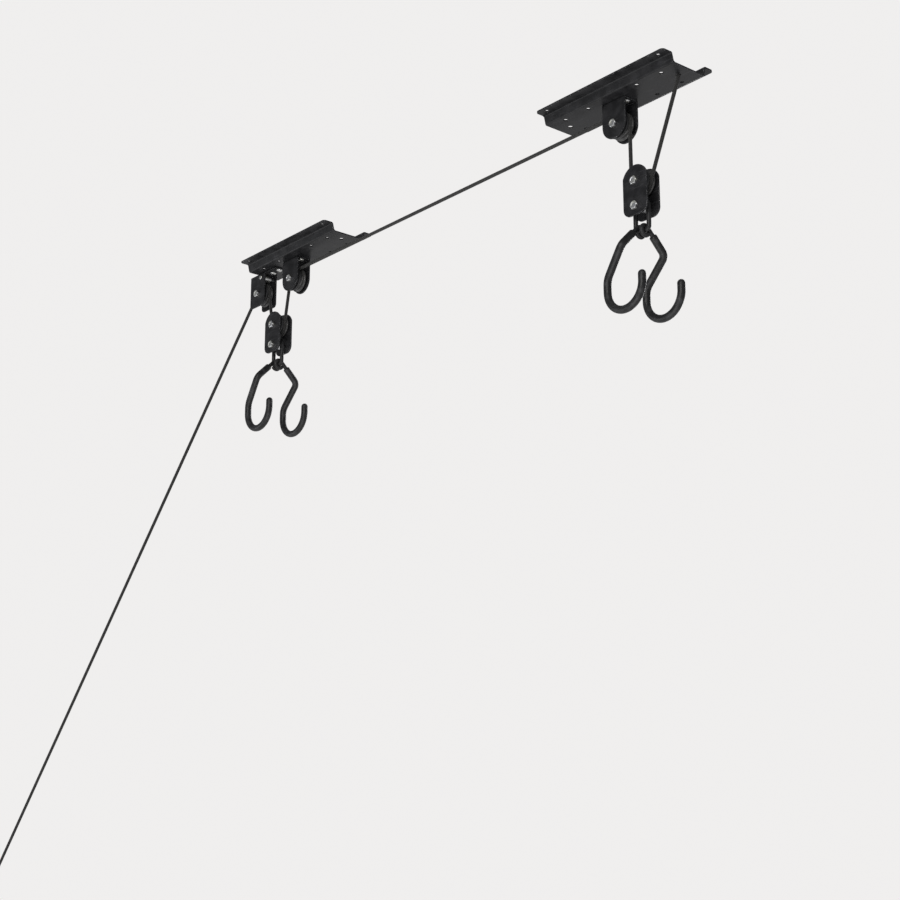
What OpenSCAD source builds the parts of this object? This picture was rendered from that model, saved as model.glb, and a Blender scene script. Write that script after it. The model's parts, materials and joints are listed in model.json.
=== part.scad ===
// Ceiling hoist for a bicycle: two ceiling brackets with sheaves, one rope, and two
// pulley blocks that each carry a pair of coated hooks.
// The ceiling is the plane z = 0, and +Z is up. +X runs from the front bracket, which
// has the rope lock, to the rear bracket, and every sheave turns about an axis along Y.
// The origin is the middle of the front bracket's ceiling face.

/* [Layout] */
// Distance between the middles of the two ceiling brackets
bracket_spacing = 690; // [450:1:1200]
// Drop of the ceiling sheaves' axles below the ceiling
sheave_drop = 46; // [44:1:56]
// Distance of the lock's axle in from the end of the front bracket
lock_inset = 0.5; // [-3:0.5:8]
// Distance of the inner sheave's axle from the middle of the front bracket
inner_offset = 22; // [14:1:28]
// Distance of the rear sheave's axle from the middle of the rear bracket
rear_offset = 5; // [0:1:12]
// Drop of the front block's axle below the ceiling
front_block_drop = 110; // [100:1:400]
// Drop of the rear block's axle below the ceiling
rear_block_drop = 135; // [110:1:400]

/* [Ceiling bracket] */
// Length of a bracket
plate_l = 225; // [216:1:280]
// Width of a bracket over its flanges
plate_w = 92; // [88:1:120]
// Thickness of the bracket's sheet
plate_t = 2; // [1.5:0.1:3]
// Depth of the pressed channel, from the ceiling to its underside
channel_depth = 14; // [13:0.5:16]
// Width of the channel's flat underside
channel_w = 56; // [50:1:60]
// How far each channel wall leans outwards
channel_lean = 3; // [1:0.5:5]
// Radius of the bracket's corners
plate_corner_r = 5; // [2:0.5:7]
// Diameter of the ceiling screw holes
screw_hole_d = 5.5; // [4:0.1:6.5]
// Distance of the ceiling screw holes from the bracket's ends
screw_inset = 14; // [10:0.5:18]
// Diameter of the spare holes in the channel
spare_hole_d = 6; // [4:0.5:7]
// Diameter of the rope hole near each end of the channel
rope_hole_d = 7; // [6.4:0.1:8]
// Distance of the rope holes from the bracket's ends
rope_hole_inset = 17.5; // [14:0.5:20]

/* [Sheave stirrups] */
// Thickness of the stirrup's steel
stirrup_t = 2; // [1.5:0.1:3]
// Gap between the two cheeks of a stirrup
stirrup_gap = 20; // [18:0.5:24]
// Width of a stirrup's cheek
stirrup_w = 40; // [38.5:0.5:44]
// Width of the lock's cheek
lock_w = 38; // [38:0.5:42]
// How far the lock's cheek reaches below its axle
lock_reach = 22; // [20:0.5:28]
// Radius of the lock cheek's lower corners
lock_corner_r = 6; // [3:0.5:10]
// How far the lock's bridge reaches in under the bracket
bridge_lap = 50; // [46:1:60]
// Diameter of the rivets
rivet_d = 5; // [4:0.5:6]
// Diameter of the rivets' heads
rivet_head_d = 9; // [8:0.5:11]
// Height of the rivets' heads
rivet_head_h = 2.2; // [1.5:0.1:2.5]
// Distance of a stirrup's rivets from its axle
rivet_offset = 12; // [10:0.5:13]

/* [Sheaves] */
// Diameter of the rope
rope_d = 5; // [4:0.1:5.5]
// Radius of the rope's middle line round a sheave
rope_bend_r = 16.3; // [15.5:0.1:16.5]
// Radius of the sheave's rim
rim_r = 18.3; // [17.5:0.1:18.8]
// Width of the sheave's rim
rim_w = 12; // [10.5:0.5:15]
// Radius of the sheave's hub
hub_r = 7; // [5.5:0.5:8]
// Thickness of the disc between hub and rim
disc_t = 5; // [3:0.5:8]
// Width of the flat edge on each side of the groove
rim_edge = 2; // [1:0.5:3]
// Thickness of the rim below the groove's floor
rim_floor = 2.4; // [1.6:0.1:3]
// Diameter of the axle bolts
axle_d = 6; // [5:0.5:6.5]
// Width across the flats of the bolt heads and nuts
hex_af = 10; // [8:0.5:11]
// Height of the bolt heads
bolt_head_h = 4; // [3:0.5:5]
// Height of the nuts
nut_h = 5; // [4:0.5:6]
// Length of thread that shows past a nut
thread_out = 1.5; // [0.5:0.1:3]

/* [Rope lock] */
// Width of the toothed cam
cam_w = 11; // [8:0.5:14]
// Radius of the cam's boss
cam_boss_r = 4.2; // [3.5:0.1:4.5]
// Diameter of the cam's pin
cam_pin_d = 4; // [3:0.5:4.5]
// Distance of the cam's pin from the lock's axle, along the bracket
cam_pin_x = 9; // [7:0.5:11]
// Height of the cam's pin above the lock's axle
cam_pin_z = 25.2; // [24.8:0.1:25.4]
// Thickness of the cam's nose
cam_nose_t = 5.5; // [4:0.5:6]
// Depth of the cam's teeth
tooth_h = 1.2; // [0.6:0.1:1.6]
// Diameter of the pin's heads
cam_pin_head_d = 7; // [5.5:0.5:8]
// Height of the pin's heads
cam_pin_head_h = 1.5; // [1:0.1:2.5]

/* [Pulley blocks] */
// Width of a block's cheek
block_w = 40; // [40:0.5:50]
// Thickness of a block's cheek
block_t = 2.5; // [1.5:0.1:3]
// Gap between the two cheeks of a block
block_gap = 19; // [18:0.5:22]
// How far a block's cheek reaches above its axle
block_top = 21; // [20.5:0.5:30]
// How far a block's cheek reaches below its axle
block_bottom = 45; // [45:0.5:60]
// Radius of a block cheek's lower corners
block_corner_r = 11; // [4:0.5:14]
// Height of the link bolt above the block's lower edge
link_bolt_rise = 12; // [10.5:0.5:13]

/* [Hook link] */
// Diameter of the sleeve on the link bolt
sleeve_d = 10; // [8:0.5:11]
// Diameter of the link's wire
link_wire_d = 6; // [5:0.5:6.5]
// Width of the link between the middles of its legs
link_w = 22; // [20:0.5:26]
// Drop of the link's lower bar below the link bolt
link_drop = 31; // [28:0.5:38]
// Radius of the link's lower bends
link_bend_r = 5; // [4:0.5:6]

/* [Hooks] */
// Diameter of the hook's steel rod
rod_d = 6; // [5:0.5:6.5]
// Diameter over the hook's soft coating
coat_d = 10; // [9:0.5:11]
// Gap between the two hooks' rods on the link's bar
hook_gap = 2; // [1:0.5:4]
// How far the knee of each hook stands out from the middle
knee_out = 34; // [28:1:42]
// How far the lower hook stands out from the middle
shank_out = 30; // [24:1:36]
// Radius of the hook's round, to the middle of the rod
hook_r = 29; // [24:1:34]
// Depth of the hook below the link's bar, to the middle of the rod
hook_depth = 107; // [95:1:125]
// Rise of the hook's tip above the middle of its round
tip_rise = 8; // [4:1:16]
// Height at which the shank is upright, above the middle of the hook's round
shank_rise = 16; // [14:1:22]
// Bend radius at the hook's knee
knee_bend_r = 11; // [9:1:14]
// Bend radius where the shank turns upright
shank_bend_r = 20; // [14:1:26]

/* [Rope tail] */
// Diameter of the stopper knots
knot_d = 15; // [12:0.5:16]
// Height of the knot that sits in the rear bracket's channel
anchor_knot_h = 10.8; // [9:0.1:11]
// Inner diameter of the wall eye's ring
eye_ring_d = 14; // [12.5:0.5:14.5]
// Diameter of the wall eye's wire
eye_wire_d = 5; // [4:0.5:5]
// Diameter of the wall eye's shank
eye_shank_d = 7; // [5:0.5:9]
// Length of the wall eye's shank, from its ring to its plate
eye_shank_l = 13; // [12:0.5:20]
// Height of the wall eye's plate
eye_plate_h = 56; // [50:1:80]
// Width of the wall eye's plate
eye_plate_w = 22; // [18:1:34]
// Thickness of the wall eye's plate
eye_plate_t = 3; // [2:0.5:5]
// Distance between the wall eye's screw holes
eye_hole_spacing = 38; // [30:1:60]
// Diameter of the wall eye's screw holes
eye_hole_d = 5; // [4:0.5:6]

/* [Hidden] */

$fn = 48;
// Overrun of every cut past the face it opens
over = 1;
// Gap of a running fit, on the radius
run_fit = 0.05;
// Gap between parts that lie or turn next to each other
seat_gap = 0.3;
// Gap at the foot of each strand, which hangs free of the rope round the block's sheave
foot_gap = 0.1;
// Runs shorter than this are left out between two bends
least_run = 0.001;
// Sides of a swept rod, and the most that it turns from one ring to the next
sweep_sides = 12;
sweep_step = 15;

steel = [0.10, 0.10, 0.11];
zinc = [0.72, 0.73, 0.75];
plastic = [0.14, 0.14, 0.15];
coating = [0.08, 0.08, 0.08];
rope_colour = [0.17, 0.16, 0.15];

// Bracket
screw_x = plate_l / 2 - screw_inset;
flange_w = (plate_w - channel_w) / 2 - channel_lean;
screw_y = plate_w / 2 - flange_w / 2;
rope_hole_x = plate_l / 2 - rope_hole_inset;
spare_y = channel_w / 3;
spare_x_shares = [0.38, 0.75];
rear_x = bracket_spacing;

// Rope route round the sheaves
groove_r = rope_d / 2 + seat_gap;
lock_offset = plate_l / 2 - lock_inset;
lock_axle = [-lock_offset, 0, -sheave_drop];
inner_axle = [-inner_offset, 0, -sheave_drop];
rear_axle = [rear_x - rear_offset, 0, -sheave_drop];
front_block_axle = [-(lock_offset + inner_offset) / 2, 0, -front_block_drop];
rear_block_axle = [rear_axle.x + 2 * rope_bend_r, 0, -rear_block_drop];
front_slant = strand_slant(abs(lock_axle.x - front_block_axle.x), front_block_drop - sheave_drop);
anchor_bend_r = 8;
anchor_point = [rear_x + rope_hole_x, 0, -channel_depth - anchor_bend_r / 2];
anchor_out = anchor_point - rear_block_axle;
anchor_slant = atan(anchor_out.x / anchor_out.z) - asin(rope_bend_r / norm(anchor_out));
strand_dir = [-sin(anchor_slant), 0, -cos(anchor_slant)];
strand_top = anchor_point + strand_dir * rope_d;
// Route of the tail from the lock, as x and z
tail_route = [
    [0, 0], [-45, -50], [-90, -100], [-135, -150], [-180, -200], [-225, -250], [-270, -300],
    [-315, -350], [-360, -400], [-405, -450], [-450, -500], [-495, -550], [-540, -600], [-585, -650],
    [-630, -700], [-675, -750], [-720, -800], [-765, -850], [-810, -900], [-855, -950], [-900, -1000],
];
tail_slant = atan(tail_route[1].y / tail_route[1].x);
tail_steps = 4;

// Sheave bore, stirrup and block thicknesses
bore_d = axle_d + 2 * run_fit;
hub_l = stirrup_gap - 2 * seat_gap;
block_hub_l = block_gap - 2 * seat_gap;
stirrup_half = stirrup_gap / 2 + stirrup_t;
block_half = block_gap / 2 + block_t;
bridge_z = -channel_depth - stirrup_t;
bridge_l = lock_offset + lock_w / 2 - plate_l / 2 + bridge_lap;
lock_rivet_xs = [
    rope_hole_x - (rope_hole_d + rivet_head_d) / 2 - 2 * seat_gap,
    plate_l / 2 - bridge_lap + rivet_head_d / 2 + stirrup_t,
];

// Lock cam
tooth_count = 6;
cam_root_share = 0.75;
tooth_start = 98;
tooth_end = 124;
tooth_r = rope_bend_r + rope_d / 2 + seat_gap;

// Hook link
link_bolt_z = -block_bottom + link_bolt_rise;
link_top_r = sleeve_d / 2 + seat_gap + link_wire_d / 2;
link_bar_z = link_bolt_z - link_drop;
front_bar = front_block_axle + [0, 0, link_bar_z];
rear_bar = rear_block_axle + [0, 0, link_bar_z];

// Hooks
hook_eye_r = link_wire_d / 2 + seat_gap + rod_d / 2;
hook_x = (rod_d + hook_gap) / 2;
leg_lean = 45;
eye_turn = 286;
coat_start = hook_eye_r + rod_d;
eye_leave = hook_eye_r * [0, -cos(leg_lean), sin(leg_lean)];
leg_dir = [0, -sin(leg_lean), -cos(leg_lean)];
knee = eye_leave + leg_dir * (knee_out + eye_leave.y) / sin(leg_lean);
hook_mid_z = hook_r - hook_depth;
hook_tip = [hook_r, -shank_out, hook_mid_z + tip_rise];
eye_steps = 15;
dome_steps = [30, 60, 84];

// Tail: from the point where it leaves the lock's sheave
tail_dir = [-cos(tail_slant), 0, -sin(tail_slant)];
tail_start = lock_axle + rope_bend_r * [-sin(tail_slant), 0, cos(tail_slant)];
knot_r = knot_d / 2;
knot_steps = 9;
knot_flat = acos((rope_d + 2 * seat_gap) / knot_d);
eye_ring_r = (eye_ring_d + eye_wire_d) / 2;
tail_end = tail_start + [tail_route[len(tail_route) - 1].x, 0, tail_route[len(tail_route) - 1].y];
tail_knot_h = knot_d + rope_d / 2;
knot_mid = tail_end + tail_dir * tail_knot_h / 2 * sin(knot_flat);
knot_rise = norm([tail_knot_h / 2 * sin(tail_slant), knot_r * cos(tail_slant)]);
eye_half = max(eye_wire_d, eye_shank_d) / 2;
eye_mid = knot_mid - tail_dir * (knot_rise + eye_half + seat_gap) / sin(tail_slant);

function unit(v) = v / norm(v);
function strand_slant(run, drop) = atan(run / drop) - asin(2 * rope_bend_r / norm([run, drop]));
function side(axle, angle) = axle + rope_bend_r * [cos(angle), 0, sin(angle)];
function turn(points, i) = acos(unit(points[i] - points[i - 1]) * unit(points[i + 1] - points[i]));
function cut_back(points, bends, i) =
    i == 0 || i == len(points) - 1 ? 0 : bends[i - 1] * tan(turn(points, i) / 2);

// A straight round rod between two points
module rod_between(a, b, d) {
    v = b - a;
    translate(a)
        rotate([0, acos(v.z / norm(v)), atan2(v.y, v.x)])
            cylinder(h = norm(v), d = d);
}

// A round rod bent by the given angle, from a start point, heading along ahead, towards inward
module bend(start, ahead, inward, bend_r, angle, d) {
    mid = start + inward * bend_r;
    flip = cross(-inward, ahead);
    multmatrix([
        [-inward.x, ahead.x, flip.x, mid.x],
        [-inward.y, ahead.y, flip.y, mid.y],
        [-inward.z, ahead.z, flip.z, mid.z],
    ])
        rotate_extrude(angle = angle)
            translate([bend_r, 0])
                circle(d = d);
}

// A round rod along points, bent at each inner point to the radius given for it
module bent_rod(points, bends, d) {
    for (i = [0:len(points) - 2]) {
        ahead = unit(points[i + 1] - points[i]);
        a = points[i] + ahead * cut_back(points, bends, i);
        b = points[i + 1] - ahead * cut_back(points, bends, i + 1);
        if ((b - a) * ahead > least_run)
            rod_between(a, b, d);
    }
    for (i = [1:len(points) - 2]) {
        ahead = unit(points[i] - points[i - 1]);
        next = unit(points[i + 1] - points[i]);
        bend(points[i] - ahead * cut_back(points, bends, i), ahead,
            unit(next - ahead * (ahead * next)), bends[i - 1], turn(points, i), d);
    }
}

// The middle line of a bent rod as points, with each bend in even steps
function bent_line(points, bends) = [
    points[0],
    for (i = [1:len(points) - 2]) each
        let (
            ahead = unit(points[i] - points[i - 1]),
            next = unit(points[i + 1] - points[i]),
            inward = unit(next - ahead * (ahead * next)),
            start = points[i] - ahead * cut_back(points, bends, i),
            steps = ceil(turn(points, i) / sweep_step)
        )
            [
                for (k = [0:steps])
                    let (a = turn(points, i) * k / steps)
                        start + inward * bends[i - 1] * (1 - cos(a)) + ahead * bends[i - 1] * sin(a)
            ],
    points[len(points) - 1],
];
function distinct(line) = [
    for (i = [0:len(line) - 1])
        if (i == 0 || norm(line[i] - line[i - 1]) > least_run) line[i]
];
function heading(line, i) = unit(line[min(i + 1, len(line) - 1)] - line[max(i - 1, 0)]);
function carried(line, across, i) = unit(across - heading(line, i) * (heading(line, i) * across));

// A closed tube along a line, with a radius for each of its points, and no twist
module sweep(line, radii, across) {
    last = len(line) - 1;
    sides = [
        for (
            i = 0, v = carried(line, across, 0);
            i <= last;
            i = i + 1, v = carried(line, v, min(i, last))
        ) v
    ];
    polyhedron(
        [
            for (i = [0:last], k = [0:sweep_sides - 1])
                let (a = 360 * (k + 1 / 2) / sweep_sides)
                    line[i] + radii[i] * (sides[i] * cos(a) + cross(heading(line, i), sides[i]) * sin(a))
        ],
        concat(
            [[for (k = [0:sweep_sides - 1]) k]],
            [
                for (i = [0:last - 1], k = [0:sweep_sides - 1])
                    let (a = i * sweep_sides + k, b = i * sweep_sides + (k + 1) % sweep_sides)
                        [b, a, a + sweep_sides, b + sweep_sides]
            ],
            [[for (k = [0:sweep_sides - 1]) last * sweep_sides + sweep_sides - 1 - k]]
        )
    );
}
function even(line, r) = [for (p = line) r];

// A cylinder along Y between two values of y, on an axis through a point
module pin(at, y0, y1, d) {
    translate([at.x, y1, at.z])
        rotate([90, 0, 0])
            cylinder(h = y1 - y0, d = d);
}

// A hexagon along Y, as a bolt head or a nut
module hexagon(at, y0, y1) {
    translate([at.x, y1, at.z])
        rotate([90, 0, 0])
            cylinder(h = y1 - y0, d = hex_af / cos(30), $fn = 6);
}

// A box from its lowest to its highest corner
module box(low, high) {
    translate(low)
        cube(high - low);
}

// The same shape on the far side of the rope's plane
module far_side() {
    mirror([0, 1, 0])
        children();
}

// One pressed bracket, with its middle on x
module bracket(x) {
    half = plate_w / 2;
    foot = channel_w / 2;
    root = foot + channel_lean;
    color(steel)
        difference() {
            intersection() {
                translate([x - plate_l / 2, 0, 0])
                    rotate([90, 0, 90])
                        linear_extrude(plate_l)
                            polygon([
                                [-half, 0], [plate_t - root, 0], [plate_t - foot, plate_t - channel_depth],
                                [foot - plate_t, plate_t - channel_depth], [root - plate_t, 0], [half, 0],
                                [half, -plate_t], [root, -plate_t], [foot, -channel_depth],
                                [-foot, -channel_depth], [-root, -plate_t], [-half, -plate_t],
                            ]);
                bracket_outline(x);
            }
            for (sx = [-1, 1], sy = [-1, 1]) {
                drill([x + sx * screw_x, sy * screw_y], screw_hole_d);
                for (share = spare_x_shares)
                    drill([x + sx * share * plate_l / 2, sy * spare_y], spare_hole_d);
            }
            for (sx = [-1, 1])
                drill([x + sx * rope_hole_x, 0], rope_hole_d);
            if (x == 0)
                for (rx = lock_rivet_xs)
                    drill([-rx, 0], rivet_d + 2 * run_fit);
            for (rx = [-rivet_offset, rivet_offset])
                drill([(x == 0 ? inner_axle.x : rear_axle.x) + rx, 0], rivet_d + 2 * run_fit);
        }
}

// The bracket's outline from above, with its round corners
module bracket_outline(x) {
    inner = [plate_l / 2 - plate_corner_r, plate_w / 2 - plate_corner_r];
    low = -channel_depth - over;
    box([x - inner.x, -plate_w / 2, low], [x + inner.x, plate_w / 2, over]);
    box([x - plate_l / 2, -inner.y, low], [x + plate_l / 2, inner.y, over]);
    for (sx = [-1, 1], sy = [-1, 1])
        translate([x + sx * inner.x, sy * inner.y, low])
            cylinder(h = channel_depth + 2 * over, r = plate_corner_r);
}

// A hole down through a bracket and the bridge under it
module drill(at, d) {
    translate([at.x, at.y, bridge_z - over])
        cylinder(h = channel_depth + stirrup_t + 2 * over, d = d);
}

// Two cheeks with round ends that hang from a bridge, under the channel
module stirrup(axle) {
    color(steel)
        difference() {
            union() {
                box([axle.x - stirrup_w / 2, -stirrup_half, bridge_z],
                    [axle.x + stirrup_w / 2, stirrup_half, -channel_depth]);
                for (s = [-1, 1]) {
                    y0 = s > 0 ? stirrup_gap / 2 : -stirrup_half;
                    box([axle.x - stirrup_w / 2, y0, axle.z],
                        [axle.x + stirrup_w / 2, y0 + stirrup_t, -channel_depth]);
                    pin(axle, y0, y0 + stirrup_t, stirrup_w);
                }
            }
            pin(axle, -stirrup_half - over, stirrup_half + over, bore_d);
            for (rx = [-rivet_offset, rivet_offset])
                drill([axle.x + rx, 0], rivet_d + 2 * run_fit);
        }
}

// One rivet through the channel and a bridge, with a head on each side
module rivet(x) {
    low = bridge_z - rivet_head_h;
    high = plate_t - channel_depth;
    translate([x, 0, low])
        cylinder(h = rivet_head_h, d1 = rivet_d, d2 = rivet_head_d);
    translate([x, 0, bridge_z])
        cylinder(h = high - bridge_z, d = rivet_d);
    translate([x, 0, high])
        cylinder(h = rivet_head_h, d1 = rivet_head_d, d2 = rivet_d);
}

// A grooved sheave with a hub, a thin disc and a rim
module sheave(axle, hub) {
    rim_foot_r = rope_bend_r - groove_r - rim_floor;
    flank_w = rim_w - 2 * rim_edge;
    color(plastic)
        translate(axle)
            rotate([90, 0, 0])
                difference() {
                    union() {
                        translate([0, 0, -hub / 2])
                            cylinder(h = hub, r = hub_r);
                        translate([0, 0, -disc_t / 2])
                            cylinder(h = disc_t, r = rim_foot_r + rim_floor / 2);
                        difference() {
                            translate([0, 0, -rim_w / 2])
                                cylinder(h = rim_w, r = rim_r);
                            translate([0, 0, -rim_w / 2 - over])
                                cylinder(h = rim_w + 2 * over, r = rim_foot_r);
                        }
                    }
                    translate([0, 0, -hub / 2 - over])
                        cylinder(h = hub + 2 * over, d = bore_d);
                    rotate_extrude()
                        translate([rope_bend_r, 0])
                            circle(r = groove_r);
                    rotate_extrude()
                        polygon([
                            [rope_bend_r, -groove_r], [rim_r + over, -flank_w / 2],
                            [rim_r + over, flank_w / 2], [rope_bend_r, groove_r],
                        ]);
                }
}

// A hexagon bolt on an axle, with its head on the near side
module axle_bolt(axle, half) {
    color(zinc) {
        hexagon(axle, -half - bolt_head_h, -half);
        pin(axle, -half, half + nut_h + thread_out, axle_d);
    }
}

// The nut on the far end of an axle bolt
module axle_nut(axle, half) {
    color(zinc)
        difference() {
            hexagon(axle, half, half + nut_h);
            pin(axle, half - over, half + nut_h + over, bore_d);
        }
}

// One cheek plate of a pulley block, on the near side
module block_cheek(axle) {
    low = axle.z - block_bottom;
    half_w = block_w / 2;
    inner_w = half_w - block_corner_r;
    color(steel)
        difference() {
            intersection() {
                union() {
                    box([axle.x - half_w, -block_half, low + block_corner_r],
                        [axle.x + half_w, -block_gap / 2, axle.z + block_top]);
                    box([axle.x - inner_w, -block_half, low],
                        [axle.x + inner_w, -block_gap / 2, axle.z]);
                    for (s = [-1, 1])
                        pin([axle.x + s * inner_w, 0, low + block_corner_r], -block_half, -block_gap / 2,
                            2 * block_corner_r);
                }
                union() {
                    pin(axle, -block_half - over, over, 2 * block_top);
                    box([axle.x - block_w, -block_half - over, low - over],
                        [axle.x + block_w, over, axle.z]);
                }
            }
            pin(axle, -block_half - over, over, bore_d);
            pin(axle + [0, 0, link_bolt_z], -block_half - over, over, bore_d);
        }
}

// The sleeve that keeps the cheeks apart on the link bolt
module link_sleeve(axle) {
    at = axle + [0, 0, link_bolt_z];
    color(zinc)
        difference() {
            pin(at, -block_hub_l / 2, block_hub_l / 2, sleeve_d);
            pin(at, -block_gap, block_gap, bore_d);
        }
}

// The closed wire link that hangs on the sleeve and carries both hooks
module link(axle) {
    at = axle + [0, 0, link_bolt_z];
    half = link_w / 2;
    color(steel)
        bent_rod([
            at + [0, 0, link_top_r], at + [half, 0, link_top_r], at + [half, 0, -link_drop],
            at + [-half, 0, -link_drop], at + [-half, 0, link_top_r], at + [0, 0, link_top_r],
        ], [link_top_r, link_bend_r, link_bend_r, link_top_r], link_wire_d);
}

// The middle line of a near hook, from a point on its leg to the end of its tip
function hook_line(from) = distinct(bent_line([
    eye_leave + leg_dir * from, knee,
    [-hook_r, -shank_out, hook_mid_z + shank_rise],
    [-hook_r, -shank_out, -hook_depth],
    [hook_r, -shank_out, -hook_depth],
    hook_tip,
], [knee_bend_r, shank_bend_r, hook_r, hook_r]));
function eye_line() = [
    for (k = [0:eye_steps - 1])
        let (a = -eye_turn * (1 - k / eye_steps))
            eye_leave * cos(a) + leg_dir * hook_eye_r * sin(a)
];

// The steel rod of a near hook, whose eye goes round the link's bar
module hook_rod(bar, x) {
    line = concat(eye_line(), hook_line(0));
    color(steel)
        translate(bar + [x, 0, 0])
            sweep(line, even(line, rod_d / 2), [1, 0, 0]);
}

// The soft coating of a near hook, closed over the tip
module hook_coat(bar, x) {
    line = hook_line(coat_start);
    bore = concat([eye_leave + leg_dir * (coat_start - over)], line);
    dome = [for (a = dome_steps) hook_tip + [0, 0, coat_d / 2 * sin(a)]];
    color(coating)
        translate(bar + [x, 0, 0])
            difference() {
                sweep(concat(line, dome),
                    concat(even(line, coat_d / 2), [for (a = dome_steps) coat_d / 2 * cos(a)]), [1, 0, 0]);
                sweep(bore, even(bore, rod_d / 2 + run_fit), [1, 0, 0]);
            }
}

// Outline of the cam's toothed nose, which bites the rope on top of the lock's sheave
module cam_nose() {
    outer_r = tooth_r + cam_nose_t;
    pin_at = [cam_pin_x, cam_pin_z];
    step = (tooth_end - tooth_start) / (2 * tooth_count);
    nose = [
        for (i = [0:2 * tooth_count])
            (tooth_r + (i % 2) * tooth_h) * [cos(tooth_start + i * step), sin(tooth_start + i * step)]
    ];
    polygon(concat(
        [pin_at - [0, cam_boss_r * cam_root_share]],
        nose,
        [outer_r * [cos(tooth_end), sin(tooth_end)], pin_at + [0, cam_boss_r * cam_root_share]]
    ));
}

// The cam on its place over the lock's sheave, bored for its pin
module cam() {
    color(zinc)
        translate(lock_axle)
            difference() {
                union() {
                    rotate([90, 0, 0])
                        translate([0, 0, -cam_w / 2])
                            linear_extrude(cam_w)
                                cam_nose();
                    pin([cam_pin_x, 0, cam_pin_z], -cam_w / 2, cam_w / 2, 2 * cam_boss_r);
                }
                pin([cam_pin_x, 0, cam_pin_z], -cam_w, cam_w, cam_pin_d + 2 * run_fit);
            }
}

// The pin that the cam swings on, headed outside both cheeks
module cam_pin() {
    at = lock_axle + [cam_pin_x, 0, cam_pin_z];
    color(zinc) {
        pin(at, -stirrup_half - cam_pin_head_h, -stirrup_half, cam_pin_head_d);
        pin(at, -stirrup_half, stirrup_half, cam_pin_d);
        pin(at, stirrup_half, stirrup_half + cam_pin_head_h, cam_pin_head_d);
    }
}

// The lock's stirrup: squarer cheeks at the bracket's end, and a bridge that reaches inwards
module lock_stirrup() {
    half_w = lock_w / 2;
    low = lock_axle.z - lock_reach;
    inner_w = half_w - lock_corner_r;
    color(steel)
        difference() {
            union() {
                box([lock_axle.x - half_w, -stirrup_half, bridge_z],
                    [lock_axle.x - half_w + bridge_l, stirrup_half, -channel_depth]);
                for (s = [-1, 1]) {
                    y0 = s > 0 ? stirrup_gap / 2 : -stirrup_half;
                    box([lock_axle.x - half_w, y0, low + lock_corner_r],
                        [lock_axle.x + half_w, y0 + stirrup_t, -channel_depth]);
                    box([lock_axle.x - inner_w, y0, low],
                        [lock_axle.x + inner_w, y0 + stirrup_t, -channel_depth]);
                    for (sx = [-1, 1])
                        pin([lock_axle.x + sx * inner_w, 0, low + lock_corner_r], y0, y0 + stirrup_t,
                            2 * lock_corner_r);
                }
            }
            pin(lock_axle, -stirrup_half - over, stirrup_half + over, bore_d);
            pin(lock_axle + [cam_pin_x, 0, cam_pin_z], -stirrup_half - over, stirrup_half + over,
                cam_pin_d + 2 * run_fit);
            for (rx = lock_rivet_xs)
                drill([-rx, 0], rivet_d + 2 * run_fit);
        }
}

// Rope round a sheave, between two angles in its plane
module wrap(axle, from, to) {
    start = side(axle, from);
    bend(start, [-sin(from), 0, cos(from)], unit(axle - start), rope_bend_r, to - from, rope_d);
}

// The rope from the rear sheave over the span and over the inner sheave
module ceiling_rope() {
    color(rope_colour) {
        wrap(rear_axle, 0, 90);
        rod_between(side(rear_axle, 90), side(inner_axle, 90), rope_d);
        wrap(inner_axle, 90, 180 - front_slant);
    }
}

// A knot as a round body on an axis through its middle, flat where the rope enters
module knot(height) {
    rotate_extrude()
        polygon(concat(
            [[0, -height / 2 * sin(knot_flat)]],
            [
                for (k = [-knot_steps:knot_steps])
                    let (a = knot_flat * k / knot_steps) [knot_r * cos(a), height / 2 * sin(a)]
            ],
            [[0, height / 2 * sin(knot_flat)]]
        ));
}

// The rope's end in the rear bracket: its knot and its neck down through the rope hole
module anchor_rope() {
    rise = anchor_knot_h / 2 * sin(knot_flat);
    neck = distinct(bent_line([
        [anchor_point.x, 0, plate_t - channel_depth + rise],
        anchor_point,
        anchor_point + strand_dir * rope_d,
    ], [anchor_bend_r]));
    color(rope_colour) {
        translate([anchor_point.x, 0, plate_t - channel_depth + seat_gap + rise])
            knot(anchor_knot_h);
        sweep(neck, even(neck, rope_d / 2), [0, 1, 0]);
    }
}

// A straight stretch of rope down to a block, which ends just clear of the rope round the sheave
module strand(top, foot) {
    color(rope_colour)
        rod_between(top, foot - unit(foot - top) * foot_gap, rope_d);
}

// The taut tail as one tube along its route
module tail_rope() {
    line = [
        for (i = [0:len(tail_route) - 2], j = [0:tail_steps - 1])
            let (at = tail_route[i] + (tail_route[i + 1] - tail_route[i]) * j / tail_steps)
                tail_start + [at.x, 0, at.y],
        tail_end,
    ];
    color(rope_colour)
        sweep(line, even(line, rope_d / 2), [0, 1, 0]);
}

// The stopper knot at the tail's end
module tail_knot() {
    color(rope_colour)
        translate(knot_mid)
            rotate([0, acos(-tail_dir.z), 0])
                knot(tail_knot_h);
}

// The wall plate with the ring that the tail's knot pulls against
module wall_eye() {
    plate_x = eye_mid.x - eye_ring_r - eye_shank_l;
    color(zinc)
        difference() {
            union() {
                translate(eye_mid)
                    rotate_extrude()
                        translate([eye_ring_r, 0])
                            circle(d = eye_wire_d);
                rod_between([plate_x, 0, eye_mid.z], eye_mid - [eye_ring_r, 0, 0], eye_shank_d);
                box([plate_x - eye_plate_t, -eye_plate_w / 2, eye_mid.z - eye_plate_h / 2],
                    [plate_x, eye_plate_w / 2, eye_mid.z + eye_plate_h / 2]);
            }
            for (s = [-1, 1])
                translate([plate_x - eye_plate_t - over, 0, eye_mid.z + s * eye_hole_spacing / 2])
                    rotate([0, 90, 0])
                        cylinder(h = eye_plate_t + 2 * over, d = eye_hole_d);
        }
}

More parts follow.
